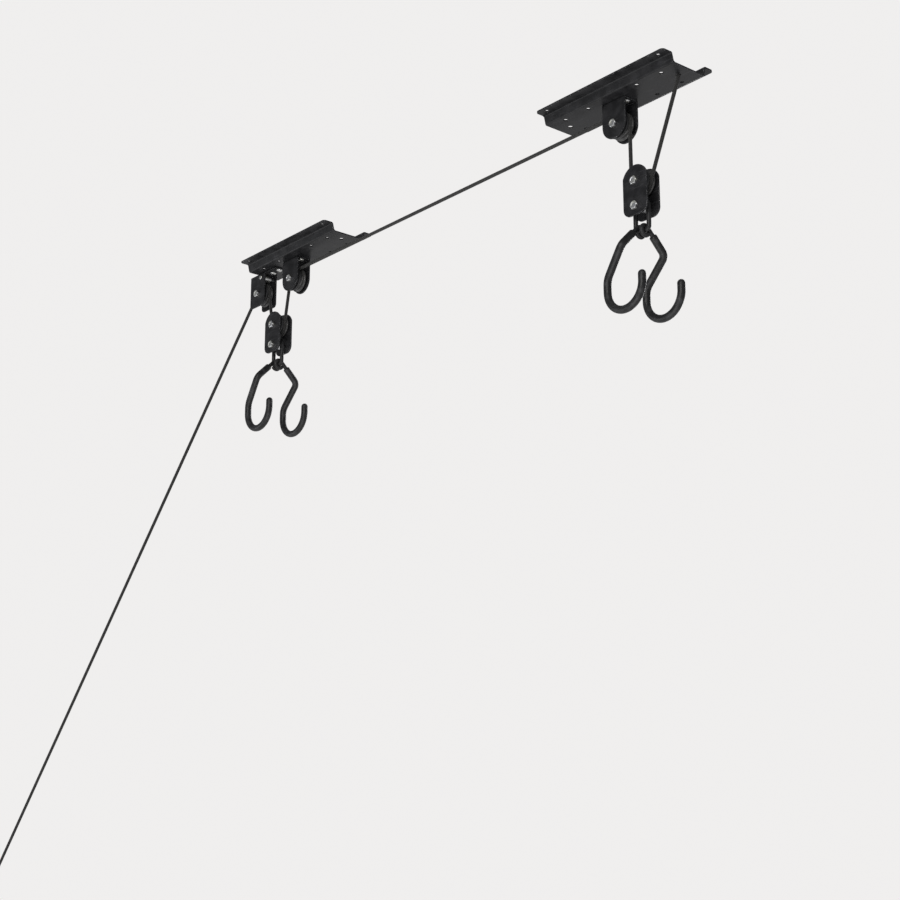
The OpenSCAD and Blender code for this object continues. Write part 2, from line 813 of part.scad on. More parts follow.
bracket(0);  // front_plate
stirrup(inner_axle);  // front_stirrup
lock_stirrup();
union() {  // front_rivets
    color(zinc) {
        for (rx = lock_rivet_xs)
            rivet(-rx);
        for (rx = [-rivet_offset, rivet_offset])
            rivet(inner_axle.x + rx);
    }
}
sheave(lock_axle, hub_l);  // lock_sheave
axle_bolt(lock_axle, stirrup_half);  // lock_axle_bolt
axle_nut(lock_axle, stirrup_half);  // lock_axle_nut
cam();  // lock_cam
cam_pin();  // lock_cam_pin
sheave(inner_axle, hub_l);  // front_sheave
axle_bolt(inner_axle, stirrup_half);  // front_axle_bolt
axle_nut(inner_axle, stirrup_half);  // front_axle_nut
bracket(rear_x);  // rear_plate
stirrup(rear_axle);  // rear_stirrup
union() {  // rear_rivets
    color(zinc)
        for (rx = [-rivet_offset, rivet_offset])
            rivet(rear_axle.x + rx);
}
sheave(rear_axle, hub_l);  // rear_sheave
axle_bolt(rear_axle, stirrup_half);  // rear_axle_bolt
axle_nut(rear_axle, stirrup_half);  // rear_axle_nut
block_cheek(front_block_axle);  // front_block_near_cheek
far_side() block_cheek(front_block_axle);  // front_block_far_cheek
sheave(front_block_axle, block_hub_l);  // front_block_sheave
axle_bolt(front_block_axle, block_half);  // front_block_axle_bolt
axle_nut(front_block_axle, block_half);  // front_block_axle_nut
link_sleeve(front_block_axle);  // front_link_sleeve
axle_bolt(front_block_axle + [0, 0, link_bolt_z], block_half);  // front_link_bolt
axle_nut(front_block_axle + [0, 0, link_bolt_z], block_half);  // front_link_nut
link(front_block_axle);  // front_link
hook_rod(front_bar, -hook_x);  // front_near_hook_rod
hook_coat(front_bar, -hook_x);  // front_near_hook_coat
far_side() hook_rod(front_bar, hook_x);  // front_far_hook_rod
far_side() hook_coat(front_bar, hook_x);  // front_far_hook_coat
block_cheek(rear_block_axle);  // rear_block_near_cheek
far_side() block_cheek(rear_block_axle);  // rear_block_far_cheek
sheave(rear_block_axle, block_hub_l);  // rear_block_sheave
axle_bolt(rear_block_axle, block_half);  // rear_block_axle_bolt
axle_nut(rear_block_axle, block_half);  // rear_block_axle_nut
link_sleeve(rear_block_axle);  // rear_link_sleeve
axle_bolt(rear_block_axle + [0, 0, link_bolt_z], block_half);  // rear_link_bolt
axle_nut(rear_block_axle + [0, 0, link_bolt_z], block_half);  // rear_link_nut
link(rear_block_axle);  // rear_link
hook_rod(rear_bar, -hook_x);  // rear_near_hook_rod
hook_coat(rear_bar, -hook_x);  // rear_near_hook_coat
far_side() hook_rod(rear_bar, hook_x);  // rear_far_hook_rod
far_side() hook_coat(rear_bar, hook_x);  // rear_far_hook_coat
ceiling_rope();
color(rope_colour) wrap(lock_axle, front_slant, 90 + tail_slant);  // lock_rope
color(rope_colour) wrap(front_block_axle, 180 + front_slant, 360 - front_slant);  // front_block_rope
color(rope_colour) wrap(rear_block_axle, 180, 360 - anchor_slant);  // rear_block_rope
anchor_rope();
strand(side(lock_axle, front_slant), side(front_block_axle, 180 + front_slant));  // front_left_strand
strand(side(inner_axle, 180 - front_slant), side(front_block_axle, -front_slant));  // front_right_strand
strand(side(rear_axle, 0), side(rear_block_axle, 180));  // rear_left_strand
strand(strand_top, side(rear_block_axle, -anchor_slant));  // rear_right_strand
tail_rope();
tail_knot();
wall_eye();
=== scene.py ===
"""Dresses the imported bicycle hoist: pressed steel, turned fasteners, dipped hooks and braided rope.

Every length in this script is in millimetres until it reaches a mesh, which is in metres.
+Z is up and +X runs from the front bracket, which has the rope lock, to the rear one.
"""
import json
import logging
from dataclasses import dataclass, field
from enum import Enum
from math import acos, asin, atan2, ceil, cos, degrees, pi, radians, sin, sqrt, tan
from typing import Callable, Iterable, Sequence, Union

import bmesh
import bpy
from mathutils import Matrix, Vector


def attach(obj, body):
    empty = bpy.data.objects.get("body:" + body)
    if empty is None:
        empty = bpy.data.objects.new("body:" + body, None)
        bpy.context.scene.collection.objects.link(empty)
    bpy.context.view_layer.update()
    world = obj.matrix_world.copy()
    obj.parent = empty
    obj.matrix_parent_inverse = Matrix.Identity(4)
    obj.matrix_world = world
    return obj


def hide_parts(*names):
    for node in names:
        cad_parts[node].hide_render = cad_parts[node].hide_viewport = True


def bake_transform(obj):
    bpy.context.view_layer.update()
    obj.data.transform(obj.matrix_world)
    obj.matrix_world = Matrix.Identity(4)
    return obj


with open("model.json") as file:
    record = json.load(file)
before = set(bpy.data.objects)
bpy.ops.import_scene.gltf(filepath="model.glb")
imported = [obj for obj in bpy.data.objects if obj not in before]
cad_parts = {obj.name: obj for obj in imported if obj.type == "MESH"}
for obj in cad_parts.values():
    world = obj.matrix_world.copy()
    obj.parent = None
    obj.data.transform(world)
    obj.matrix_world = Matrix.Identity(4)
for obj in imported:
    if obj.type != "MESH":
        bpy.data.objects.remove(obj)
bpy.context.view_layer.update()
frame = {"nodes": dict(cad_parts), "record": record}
LOG = logging.getLogger("hoist")

MM = 0.001
TURN = 2 * pi
UP = Vector((0.0, 0.0, 1.0))
ACROSS = Vector((0.0, 1.0, 0.0))
ALONG = Vector((1.0, 0.0, 0.0))
SAME = 0.01

# The angles below which faces shade smoothly, in degrees.
SMOOTH_CAST = 30.0
SMOOTH_PLATE = 32.0
SMOOTH_HEX = 35.0
SMOOTH_MOULD = 38.0
SMOOTH_HEAD = 40.0
SMOOTH_WIRE = 60.0
SMOOTH_CORD = 70.0

Radius = Union[float, Callable[[float], float]]
Levels = list[tuple[float, Radius]]
Colour = tuple[float, float, float]
Pairs = tuple[tuple[float, float], ...]
Socket = bpy.types.NodeSocket
Thing = bpy.types.Object


class End(Enum):
    """The two ends of the hoist, each with one pulley block."""

    FRONT = "front"
    REAR = "rear"


class Side(Enum):
    """The two sides of the rope's plane, and the sign of Y on each."""

    NEAR = -1
    FAR = 1

    @property
    def word(self) -> str:
        """The side's name as the frame's nodes use it."""
        return self.name.lower()


class Finish(Enum):
    """The finishes of the hoist, each with its slot in the record."""

    BRACKET = "bracket_steel"
    BLOCK = "block_steel"
    ZINC = "zinc"
    SHEAVE = "sheave_plastic"
    HOOK_STEEL = "hook_steel"
    COATING = "hook_coating"
    ROPE = "rope"


def point(x: float, y: float, z: float) -> Vector:
    """A dataclass field that holds a point of its own."""
    return field(default_factory=lambda: Vector((x, y, z)))


def linked(name: str, data: bpy.types.ID) -> Thing:
    """A new object with this data, linked to the scene."""
    made = bpy.data.objects.new(name, data)
    bpy.context.scene.collection.objects.link(made)
    return made


# ---------------------------------------------------------------- sizes


@dataclass(frozen=True)
class Sizes:
    """The hoist's main sizes and places, the same as those of its solids."""

    lock_axle: Vector = point(-112.0, 0.0, -46.0)
    inner_axle: Vector = point(-22.0, 0.0, -46.0)
    rear_axle: Vector = point(685.0, 0.0, -46.0)
    front_block: Vector = point(-67.0, 0.0, -110.0)
    rear_block: Vector = point(717.6, 0.0, -135.0)
    anchor: Vector = point(785.0, 0.0, -18.0)
    rope_d: float = 5.0
    bend_r: float = 16.3
    stirrup_half: float = 12.0
    stirrup_gap: float = 20.0
    block_half: float = 12.0
    block_gap: float = 19.0
    axle_d: float = 6.0
    seat_gap: float = 0.3
    run_fit: float = 0.05
    link_bolt_drop: float = 33.0
    link_drop: float = 31.0
    foot_gap: float = 0.1
    channel_depth: float = 14.0
    plate_t: float = 2.0
    stirrup_t: float = 2.0
    tail_run: float = 45.0
    tail_drop: float = 50.0
    tail_steps: int = 20

    @property
    def bore_r(self) -> float:
        """The radius of a bore that runs on an axle."""
        return self.axle_d / 2 + self.run_fit

    @property
    def front_slant(self) -> float:
        """Slant of the front strands from upright, in degrees."""
        run = abs(self.lock_axle.x - self.front_block.x)
        drop = self.lock_axle.z - self.front_block.z
        return degrees(atan2(run, drop) - asin(2 * self.bend_r / sqrt(run * run + drop * drop)))

    @property
    def anchor_slant(self) -> float:
        """Slant of the rear block's anchored strand from upright, in degrees."""
        out = self.anchor - self.rear_block
        return degrees(atan2(out.x, out.z) - asin(self.bend_r / out.length))

    @property
    def tail_slant(self) -> float:
        """Slope of the tail below the level, in degrees."""
        return degrees(atan2(self.tail_drop, self.tail_run))

    def block(self, end: End) -> Vector:
        """The axle of the pulley block at one end."""
        return self.front_block if end is End.FRONT else self.rear_block

    def bar(self, end: End) -> Vector:
        """The middle of the link's lower bar at one end."""
        return self.block(end) - UP * (self.link_bolt_drop + self.link_drop)

    def side(self, axle: Vector, angle: float) -> Vector:
        """The rope's middle line on a sheave, at an angle in the sheave's plane, in degrees."""
        return axle + self.bend_r * Vector((cos(radians(angle)), 0.0, sin(radians(angle))))


SIZES = Sizes()


# ---------------------------------------------------------------- lines


class Lines:
    """Middle lines of bent rods and ropes, as points."""

    @staticmethod
    def arc(axle: Vector, radius: float, start: float, stop: float, step: float = 5.0) -> list[Vector]:
        """Points round an axis along Y.

        Args:
            axle: the middle of the arc.
            radius: its radius.
            start: the first angle from +X towards +Z, in degrees.
            stop: the last angle, in degrees.
            step: the most that one point may turn from the last, in degrees.

        Returns:
            The points, both ends included.
        """
        count = max(1, ceil(abs(stop - start) / step))
        angles = [radians(start + (stop - start) * i / count) for i in range(count + 1)]
        return [axle + radius * Vector((cos(a), 0.0, sin(a))) for a in angles]

    @staticmethod
    def bent(corners: Sequence[Vector], bends: Sequence[float], step: float = 5.0) -> list[Vector]:
        """A line through corners, each inner corner bent to a radius.

        Args:
            corners: the corner points, both ends included.
            bends: one bend radius for each inner corner.
            step: the most that one point may turn from the last, in degrees.

        Returns:
            The points of the bent line.
        """
        line = [corners[0].copy()]
        for before, corner, after, radius in zip(corners, corners[1:], corners[2:], bends):
            ahead = (corner - before).normalized()
            leave = (after - corner).normalized()
            angle = acos(max(-1.0, min(1.0, ahead.dot(leave))))
            inward = (leave - ahead * ahead.dot(leave)).normalized()
            start = corner - ahead * radius * tan(angle / 2)
            count = max(2, ceil(degrees(angle) / step))
            for k in range(count + 1):
                a = angle * k / count
                line.append(start + inward * radius * (1 - cos(a)) + ahead * radius * sin(a))
        line.append(corners[-1].copy())
        return Lines.distinct(line)

    @staticmethod
    def distinct(line: Sequence[Vector]) -> list[Vector]:
        """The line without points that repeat the last one."""
        kept = [line[0]]
        for place in line[1:]:
            if (place - kept[-1]).length > SAME:
                kept.append(place)
        return kept

    @staticmethod
    def divided(line: Sequence[Vector], most: float) -> list[Vector]:
        """The line with points added, so that no two are further apart than most."""
        made = [line[0]]
        for a, b in zip(line, line[1:]):
            count = max(1, ceil((b - a).length / most))
            made += [a + (b - a) * (k / count) for k in range(1, count + 1)]
        return made

    @staticmethod
    def length(line: Sequence[Vector]) -> float:
        """The length of a line."""
        return sum((b - a).length for a, b in zip(line, line[1:]))


# ---------------------------------------------------------------- shapes


class Shape:
    """A mesh in the making, shaped with bmesh operators and finished as one object."""

    SHARP = radians(28)
    FACET = radians(0.8)
    STEADY = cos(radians(50))
    SEAM = 2e-6
    DOUBLE = 1e-7

    def __init__(self) -> None:
        """Starts an empty mesh with a UV map and the two numbers that fill it."""
        self.bm = bmesh.new()
        self.turn = self.bm.verts.layers.float.new("turn")
        self.run = self.bm.verts.layers.float.new("run")
        self.uv = self.bm.loops.layers.uv.new("UVMap")

    def _ring(self, sides: int) -> tuple[list, list]:
        """A unit circle in the plane of its own X and Y, with each point's turn noted."""
        verts = bmesh.ops.create_circle(self.bm, cap_ends=False, segments=sides, radius=1.0)["verts"]
        for v in verts:
            v[self.turn] = (atan2(v.co.y, v.co.x) / TURN) % 1.0
        return verts, list(dict.fromkeys(e for v in verts for e in v.link_edges))

    def _step(self, edges: list) -> tuple[list, list]:
        """Extrudes a ring of edges once, and gives the new ring's points and edges."""
        made = bmesh.ops.extrude_edge_only(self.bm, edges=edges)["geom"]
        verts = [g for g in made if isinstance(g, bmesh.types.BMVert)]
        return verts, [g for g in made if isinstance(g, bmesh.types.BMEdge)]

    def _put(self, verts: list, place: Matrix, radii: Iterable[float], height: float, run: float) -> None:
        """Puts a ring's points in their places.

        Args:
            verts: the ring's points.
            place: the place of the ring's own axes.
            radii: the radius at each point.
            height: the ring's height on its own axis.
            run: the length of surface that comes before the ring.
        """
        for v, r in zip(verts, radii):
            a = TURN * v[self.turn]
            v.co = (place @ Vector((r * cos(a), r * sin(a), height))) * MM
            v[self.run] = run

    def _close(self, first: list, last: list, closed: bool) -> "Shape":
        """Joins the last ring of edges to the first, or else fills both."""
        if closed:
            bmesh.ops.bridge_loops(self.bm, edges=first + last)
        else:
            bmesh.ops.holes_fill(self.bm, edges=first, sides=0)
            bmesh.ops.holes_fill(self.bm, edges=last, sides=0)
        return self

    def _bevel(self, edges: list, width: float, segments: int = 2, clamp: bool = True) -> None:
        """Eases edges to a width."""
        bmesh.ops.bevel(
            self.bm, geom=edges, offset=width * MM, segments=segments, profile=0.5, affect="EDGES", material=-1,
            clamp_overlap=clamp,
        )

    def _sharp(self) -> list:
        """The edges that are corners, and not facets of a curve."""
        self.bm.normal_update()
        return [e for e in self.bm.edges if e.is_manifold and e.calc_face_angle(0.0) > self.SHARP]

    def rings(
        self, centre: Vector, levels: Levels, sides: int = 48, axis: Vector = ACROSS, closed: bool = False
    ) -> "Shape":
        """A turned or hexagonal body, ring by ring along an axis.

        Args:
            centre: the point that the levels are measured from.
            levels: pairs of a distance along the axis and a radius, or a radius for each angle.
            sides: the number of points in a ring.
            axis: the body's axis.
            closed: joins the last ring to the first, for a body with a bore.

        Returns:
            This shape.
        """
        place = Matrix.Translation(centre) @ axis.to_track_quat("Z", "X").to_matrix().to_4x4()
        verts, edges = self._ring(sides)
        first, run, last = edges, 0.0, None
        for count, (height, radius) in enumerate(levels):
            if count:
                verts, edges = self._step(edges)
            seen = [radius(TURN * v[self.turn]) if callable(radius) else radius for v in verts]
            if last is not None:
                run += sqrt((height - last[0]) ** 2 + (seen[0] - last[1]) ** 2)
            last = (height, seen[0])
            self._put(verts, place, seen, height, run)
        return self._close(first, edges, closed)

    def tube(
        self, line: Sequence[Vector], radius: Union[float, Sequence[float]], sides: int = 20,
        across: Vector = ACROSS, closed: bool = False, start: float = 0.0,
    ) -> "Shape":
        """A round rod or rope along a line.

        Args:
            line: the middle line's points.
            radius: one radius, or one for each point.
            sides: the number of points in a ring.
            across: a direction that isn't along the line, from which the turn is counted.
            closed: joins the last ring to the first.
            start: the length of rope that comes before this piece.

        Returns:
            This shape.
        """
        radii = [radius] * len(line) if isinstance(radius, (int, float)) else list(radius)
        verts, edges = self._ring(sides)
        first, run, held = edges, start, across
        for i, (at, r) in enumerate(zip(line, radii)):
            after = line[(i + 1) % len(line)] if closed else line[min(i + 1, len(line) - 1)]
            before = line[i - 1] if closed else line[max(i - 1, 0)]
            ahead = (after - before).normalized()
            held = (held - ahead * ahead.dot(held)).normalized()
            other = ahead.cross(held)
            place = Matrix((
                (held.x * r, other.x * r, ahead.x, at.x),
                (held.y * r, other.y * r, ahead.y, at.y),
                (held.z * r, other.z * r, ahead.z, at.z),
                (0.0, 0.0, 0.0, 1.0),
            ))
            if i:
                verts, edges = self._step(edges)
                run += (at - line[i - 1]).length
            self._put(verts, place, [1.0] * sides, 0.0, run)
        return self._close(first, edges, closed)

    def block(self, centre: Vector, size: Vector, turn: float, ease: float) -> None:
        """A small eased block, turned about its Y axis.

        Args:
            centre: the block's middle.
            size: its lengths along X, Y and Z.
            turn: the angle about Y, in radians.
            ease: the width of its eased edges.
        """
        spun = Matrix.Translation(centre * MM) @ Matrix.Rotation(turn, 4, "Y")
        place = spun @ Matrix.Diagonal((*(size * MM), 1.0))
        verts = bmesh.ops.create_cube(self.bm, size=1.0, matrix=place)["verts"]
        self._bevel(list(dict.fromkeys(e for v in verts for e in v.link_edges)), ease, clamp=False)

    def eased(
        self, node: str, width: float, bends: float = 0.0,
        is_bend: Union[Callable[[Vector, Vector], bool], None] = None,
    ) -> "Shape":
        """A merged copy of one solid of the frame, with its sharp edges eased.

        Args:
            node: the solid's name.
            width: the width of the eased edges.
            bends: the width of the wider easing on folds.
            is_bend: tells a fold from its edge's two ends, in millimetres.

        Returns:
            This shape.
        """
        self.bm.from_mesh(frame["nodes"][node].data)
        bmesh.ops.remove_doubles(self.bm, verts=self.bm.verts, dist=self.SEAM)
        bmesh.ops.dissolve_limit(
            self.bm, angle_limit=self.FACET, verts=self.bm.verts, edges=self.bm.edges,
            use_dissolve_boundaries=False,
        )
        if is_bend is not None:
            folds = [e for e in self._sharp() if is_bend(e.verts[0].co / MM, e.verts[1].co / MM)]
            self._bevel(folds, bends, 4)
        self._bevel(self._sharp(), width)
        return self

    def _fill_uv(self) -> None:
        """Writes the UV map: turns round the piece, and millimetres along it."""
        for face in self.bm.faces:
            base = face.loops[0].vert[self.turn]
            for loop in face.loops:
                u = loop.vert[self.turn]
                u += round(base - u)
                loop[self.uv].uv = (u, loop.vert[self.run])

    @staticmethod
    def _steady(mesh: bpy.types.Mesh, least: float) -> None:
        """Lets the large faces round each point set its shading, so that eased edges don't smear flat faces.

        Args:
            mesh: the mesh, already smooth.
            least: the cosine of the angle past which faces don't shade each other.
        """
        around: dict[int, list[int]] = {}
        faces = mesh.polygons
        for face in faces:
            for index in face.vertices:
                around.setdefault(index, []).append(face.index)
        normals = [face.normal.copy() for face in faces]
        areas = [face.area for face in faces]
        made: list[Vector] = [UP] * len(mesh.loops)
        for face in faces:
            own = normals[face.index]
            for loop, index in zip(face.loop_indices, face.vertices):
                total = Vector((0.0, 0.0, 0.0))
                for other in around[index]:
                    if normals[other].dot(own) > least:
                        total += normals[other] * areas[other]
                made[loop] = total.normalized() if total.length > 0.0 else own
        mesh.normals_split_custom_set(made)

    def finish(
        self, name: str, finish: Finish, node: str, smooth: float = SMOOTH_PLATE, flat: bool = False
    ) -> Thing:
        """Makes the object, dresses it, and puts it in its node's place.

        Args:
            name: the object's name.
            finish: its finish.
            node: the node that it stands for.
            smooth: the angle below which its faces shade smoothly, in degrees.
            flat: shades its large flat faces evenly.

        Returns:
            The finished object.
        """
        bmesh.ops.remove_doubles(self.bm, verts=self.bm.verts, dist=self.DOUBLE)
        bmesh.ops.recalc_face_normals(self.bm, faces=self.bm.faces)
        self._fill_uv()
        mesh = bpy.data.meshes.new(name)
        self.bm.to_mesh(mesh)
        self.bm.free()
        mesh.polygons.foreach_set("use_smooth", [True] * len(mesh.polygons))
        mesh.set_sharp_from_angle(angle=radians(smooth))
        if flat:
            self._steady(mesh, self.STEADY)
        piece = linked(name, mesh)
        mesh.materials.append(MATERIALS[finish])
        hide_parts(node)
        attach(piece, BODY_OF[node])
        LOG.info("%s: %d faces, stands for %s", name, len(mesh.polygons), node)
        return piece


# ---------------------------------------------------------------- node groups and materials


class Graph:
    """A node tree with short calls to add nodes and join their sockets."""

    def __init__(self, tree: bpy.types.NodeTree) -> None:
        """Wraps a tree and clears it."""
        self.tree = tree
        tree.nodes.clear()

    def node(self, kind: str, inputs: Union[dict, None] = None, **settings: object) -> bpy.types.Node:
        """Adds one node.

        Args:
            kind: the node's type.
            inputs: a value, or a socket to join, for each named or numbered input.
            settings: the node's own settings.

        Returns:
            The node.
        """
        count = len(self.tree.nodes)
        made = self.tree.nodes.new(kind)
        made.location = (count * 180.0, -(count % 4) * 160.0)
        for key, value in settings.items():
            setattr(made, key, value)
        for key, value in (inputs or {}).items():
            if isinstance(value, Socket):
                self.tree.links.new(value, made.inputs[key])
            else:
                made.inputs[key].default_value = value
        return made

    def math(self, operation: str, a: object, b: object = 0.0, clamp: bool = False) -> Socket:
        """The result of one sum on two values or sockets."""
        return self.node("ShaderNodeMath", {0: a, 1: b}, operation=operation, use_clamp=clamp).outputs[0]

    def noise(self, vector: Socket, scale: object, detail: float = 3.0, roughness: float = 0.5) -> Socket:
        """The value of a noise texture, from 0 to 1."""
        inputs = {"Vector": vector, "Scale": scale, "Detail": detail, "Roughness": roughness}
        return self.node("ShaderNodeTexNoise", inputs).outputs["Fac"]

    def ramp(self, value: Socket, low: float, high: float, to_low: float = 0.0, to_high: float = 1.0) -> Socket:
        """Maps a value smoothly from one range to another, and holds it there."""
        inputs = {"Value": value, "From Min": low, "From Max": high, "To Min": to_low, "To Max": to_high}
        made = self.node("ShaderNodeMapRange", inputs, interpolation_type="SMOOTHSTEP", clamp=True)
        return made.outputs["Result"]

    def layers(self, base: Union[Socket, Colour], *coats: tuple[Socket, Colour]) -> Socket:
        """A colour with others laid over it, each through its mask.

        Args:
            base: the lowest colour.
            coats: pairs of a mask and the colour that it lets through.

        Returns:
            The mixed colour.
        """
        for mask, colour in coats:
            below = base if isinstance(base, Socket) else (*base, 1.0)
            inputs = {0: mask, 6: below, 7: (*colour, 1.0)}
            base = self.node("ShaderNodeMix", inputs, data_type="RGBA", clamp_factor=True).outputs[2]
        return base

    def place(self) -> Socket:
        """The point's place on its object, in metres."""
        return self.node("ShaderNodeTexCoord").outputs["Object"]

    def group(self, tree: bpy.types.NodeTree, **inputs: float) -> object:
        """Places a shared group with its own values, and gives its outputs."""
        return self.node("ShaderNodeGroup", inputs, node_tree=tree).outputs

    def bump(self, height: Socket, strength: float, depth: float) -> Socket:
        """A normal that leans as a height says, at a depth in millimetres."""
        inputs = {"Strength": strength, "Distance": depth * MM, "Height": height}
        return self.node("ShaderNodeBump", inputs).outputs["Normal"]


class Groups:
    """The shared effects, each built once as a node group."""

    def __init__(self) -> None:
        """Builds every group."""
        self.edge_wear = self._built("Edge wear", self._edge_wear, Width=0.0006, Amount=0.5, Scale=300.0)
        self.peel = self._built("Skin peel", self._peel, Scale=900.0, Wave=90.0, Share=0.3)
        self.dust = self._built("Settled dust", self._dust, Amount=0.5, Scale=60.0)
        self.scuffs = self._built("Thin scuffs", self._scuffs, Scale=40.0, Amount=0.5)
        self.braid = self._built("Rope braid", self._braid, Yarns=8.0, Pitch=11.0, Fibre=9.0)

    @staticmethod
    def _built(name: str, effect: Callable[[Graph, object], dict], **inputs: float) -> bpy.types.NodeTree:
        """Builds one group.

        Args:
            name: the group's name.
            effect: adds the group's nodes, and gives the socket for each output's name.
            inputs: each input's name and value.

        Returns:
            The group's tree.
        """
        tree = bpy.data.node_groups.new(name, "ShaderNodeTree")
        for key, value in inputs.items():
            socket = tree.interface.new_socket(name=key, in_out="INPUT", socket_type="NodeSocketFloat")
            socket.default_value = value
        graph = Graph(tree)
        made = effect(graph, graph.node("NodeGroupInput").outputs)
        for key in made:
            tree.interface.new_socket(name=key, in_out="OUTPUT", socket_type="NodeSocketFloat")
        graph.node("NodeGroupOutput", made)
        return tree

    @staticmethod
    def _edge_wear(g: Graph, ins: object) -> dict:
        """A mask that is 1 on worn edges, broken up by noise."""
        soft = g.node("ShaderNodeBevel", {"Radius": ins["Width"]}, samples=6).outputs["Normal"]
        true = g.node("ShaderNodeNewGeometry").outputs["Normal"]
        dot = g.node("ShaderNodeVectorMath", {0: soft, 1: true}, operation="DOT_PRODUCT").outputs["Value"]
        edge = g.ramp(g.math("SUBTRACT", 1.0, dot), 0.004, 0.09)
        breakup = g.noise(g.place(), ins["Scale"], 5.0, 0.65)
        more = g.math("MULTIPLY", g.math("SUBTRACT", ins["Amount"], 0.5), 0.6)
        worn = g.ramp(g.math("ADD", breakup, more), 0.42, 0.62)
        return {"Mask": g.math("MULTIPLY", edge, worn, True)}

    @staticmethod
    def _peel(g: Graph, ins: object) -> dict:
        """The fine swell of a sprayed or dipped skin, as a height, and its slow patches."""
        place = g.place()
        fine = g.noise(place, ins["Scale"], 2.0)
        wave = g.noise(place, ins["Wave"], 2.0)
        part = g.math("MULTIPLY", wave, ins["Share"])
        rest = g.math("MULTIPLY", fine, g.math("SUBTRACT", 1.0, ins["Share"]))
        return {"Height": g.math("ADD", part, rest), "Patch": wave}

    @staticmethod
    def _dust(g: Graph, ins: object) -> dict:
        """A mask of dust on faces that look up."""
        normal = g.node("ShaderNodeNewGeometry").outputs["Normal"]
        lift = g.node("ShaderNodeSeparateXYZ", {0: normal}).outputs["Z"]
        patch = g.noise(g.place(), ins["Scale"], 6.0, 0.7)
        mask = g.math("MULTIPLY", g.ramp(lift, 0.15, 0.95), g.ramp(patch, 0.35, 0.75))
        return {"Mask": g.math("MULTIPLY", mask, ins["Amount"], True)}

    @staticmethod
    def _scuffs(g: Graph, ins: object) -> dict:
        """A mask of thin scratches that run several ways."""
        place, lines = g.place(), []
        for turn in ((0.3, 0.2, 0.9), (1.3, 0.7, 0.1), (2.2, 1.9, 1.2)):
            inputs = {"Vector": place, "Rotation": turn, "Scale": (1.0, 14.0, 14.0)}
            streak = g.noise(g.node("ShaderNodeMapping", inputs).outputs[0], ins["Scale"], 2.0, 0.6)
            lines.append(g.ramp(streak, 0.655, 0.70))
        total = g.math("MAXIMUM", g.math("MAXIMUM", lines[0], lines[1]), lines[2])
        return {"Mask": g.math("MULTIPLY", total, ins["Amount"], True)}

    @staticmethod
    def _braid(g: Graph, ins: object) -> dict:
        """Two sets of yarns that cross round a rope: their height, which set is on top, and fibres."""
        uv = g.node("ShaderNodeUVMap", uv_map="UVMap").outputs[0]
        parts = g.node("ShaderNodeSeparateXYZ", {0: uv}).outputs
        around = g.math("MULTIPLY", parts["X"], ins["Yarns"])
        along = g.math("MULTIPLY", g.math("DIVIDE", parts["Y"], ins["Pitch"]), ins["Yarns"])
        left, right = g.math("ADD", around, along), g.math("SUBTRACT", around, along)

        def yarn(value: Socket) -> Socket:
            """The crown of each yarn in one set."""
            half = g.math("ABSOLUTE", g.math("SUBTRACT", g.math("FRACT", value), 0.5))
            return g.math("SUBTRACT", 1.0, g.math("MULTIPLY", g.math("POWER", half, 2.0), 4.0))

        cell = g.math("ADD", g.math("FLOOR", left), g.math("FLOOR", right))
        over = g.math("FRACT", g.math("MULTIPLY", cell, 0.5))
        which = g.math("GREATER_THAN", over, 0.25)
        first = g.math("MULTIPLY", yarn(left), which)
        second = g.math("MULTIPLY", yarn(right), g.math("SUBTRACT", 1.0, which))
        height = g.math("ADD", first, second)
        thin = [g.math("MULTIPLY", value, ins["Fibre"]) for value in (left, right)]
        spun = g.node("ShaderNodeCombineXYZ", {0: left, 1: thin[1], 2: which}).outputs[0]
        other = g.node("ShaderNodeCombineXYZ", {0: thin[0], 1: right, 2: which}).outputs[0]
        picked = g.node("ShaderNodeMix", None, data_type="VECTOR")
        for index, socket in ((0, which), (4, other), (5, spun)):
            g.tree.links.new(socket, picked.inputs[index])
        fibres = g.noise(picked.outputs[1], 1.6, 3.0, 0.6)
        relief = g.math("ADD", g.math("MULTIPLY", height, 0.85), g.math("MULTIPLY", fibres, 0.15))
        return {"Height": relief, "Set": which, "Fibres": fibres}


@dataclass(frozen=True)
class Coat:
    """A plain surface with its own colour, gloss and swell, the base of every finish."""

    name: str
    colour: Colour
    roughness: float

    def build(self, groups: Groups) -> bpy.types.Material:
        """Makes the material.

        Args:
            groups: the shared effects.

        Returns:
            The material.
        """
        material = bpy.data.materials.new(self.name)
        material.use_nodes = True
        graph = Graph(material.node_tree)
        shader = graph.node("ShaderNodeBsdfPrincipled", self.dress(graph, groups))
        graph.node("ShaderNodeOutputMaterial", {"Surface": shader.outputs[0]})
        return material

    def dress(self, graph: Graph, groups: Groups) -> dict:
        """Adds the finish's own nodes, and gives the shader's inputs."""
        raise NotImplementedError

    def gloss(self, graph: Graph, patch: Socket, below: float, above: float, edge: float = 0.2) -> Socket:
        """A roughness that changes slowly over the surface.

        Args:
            graph: the material's graph.
            patch: the slow change.
            below: how far it falls below the finish's roughness.
            above: how far it rises above it.
            edge: how far from 0 and 1 the change is held.

        Returns:
            The roughness.
        """
        return graph.ramp(patch, edge, 1.0 - edge, self.roughness - below, self.roughness + above)


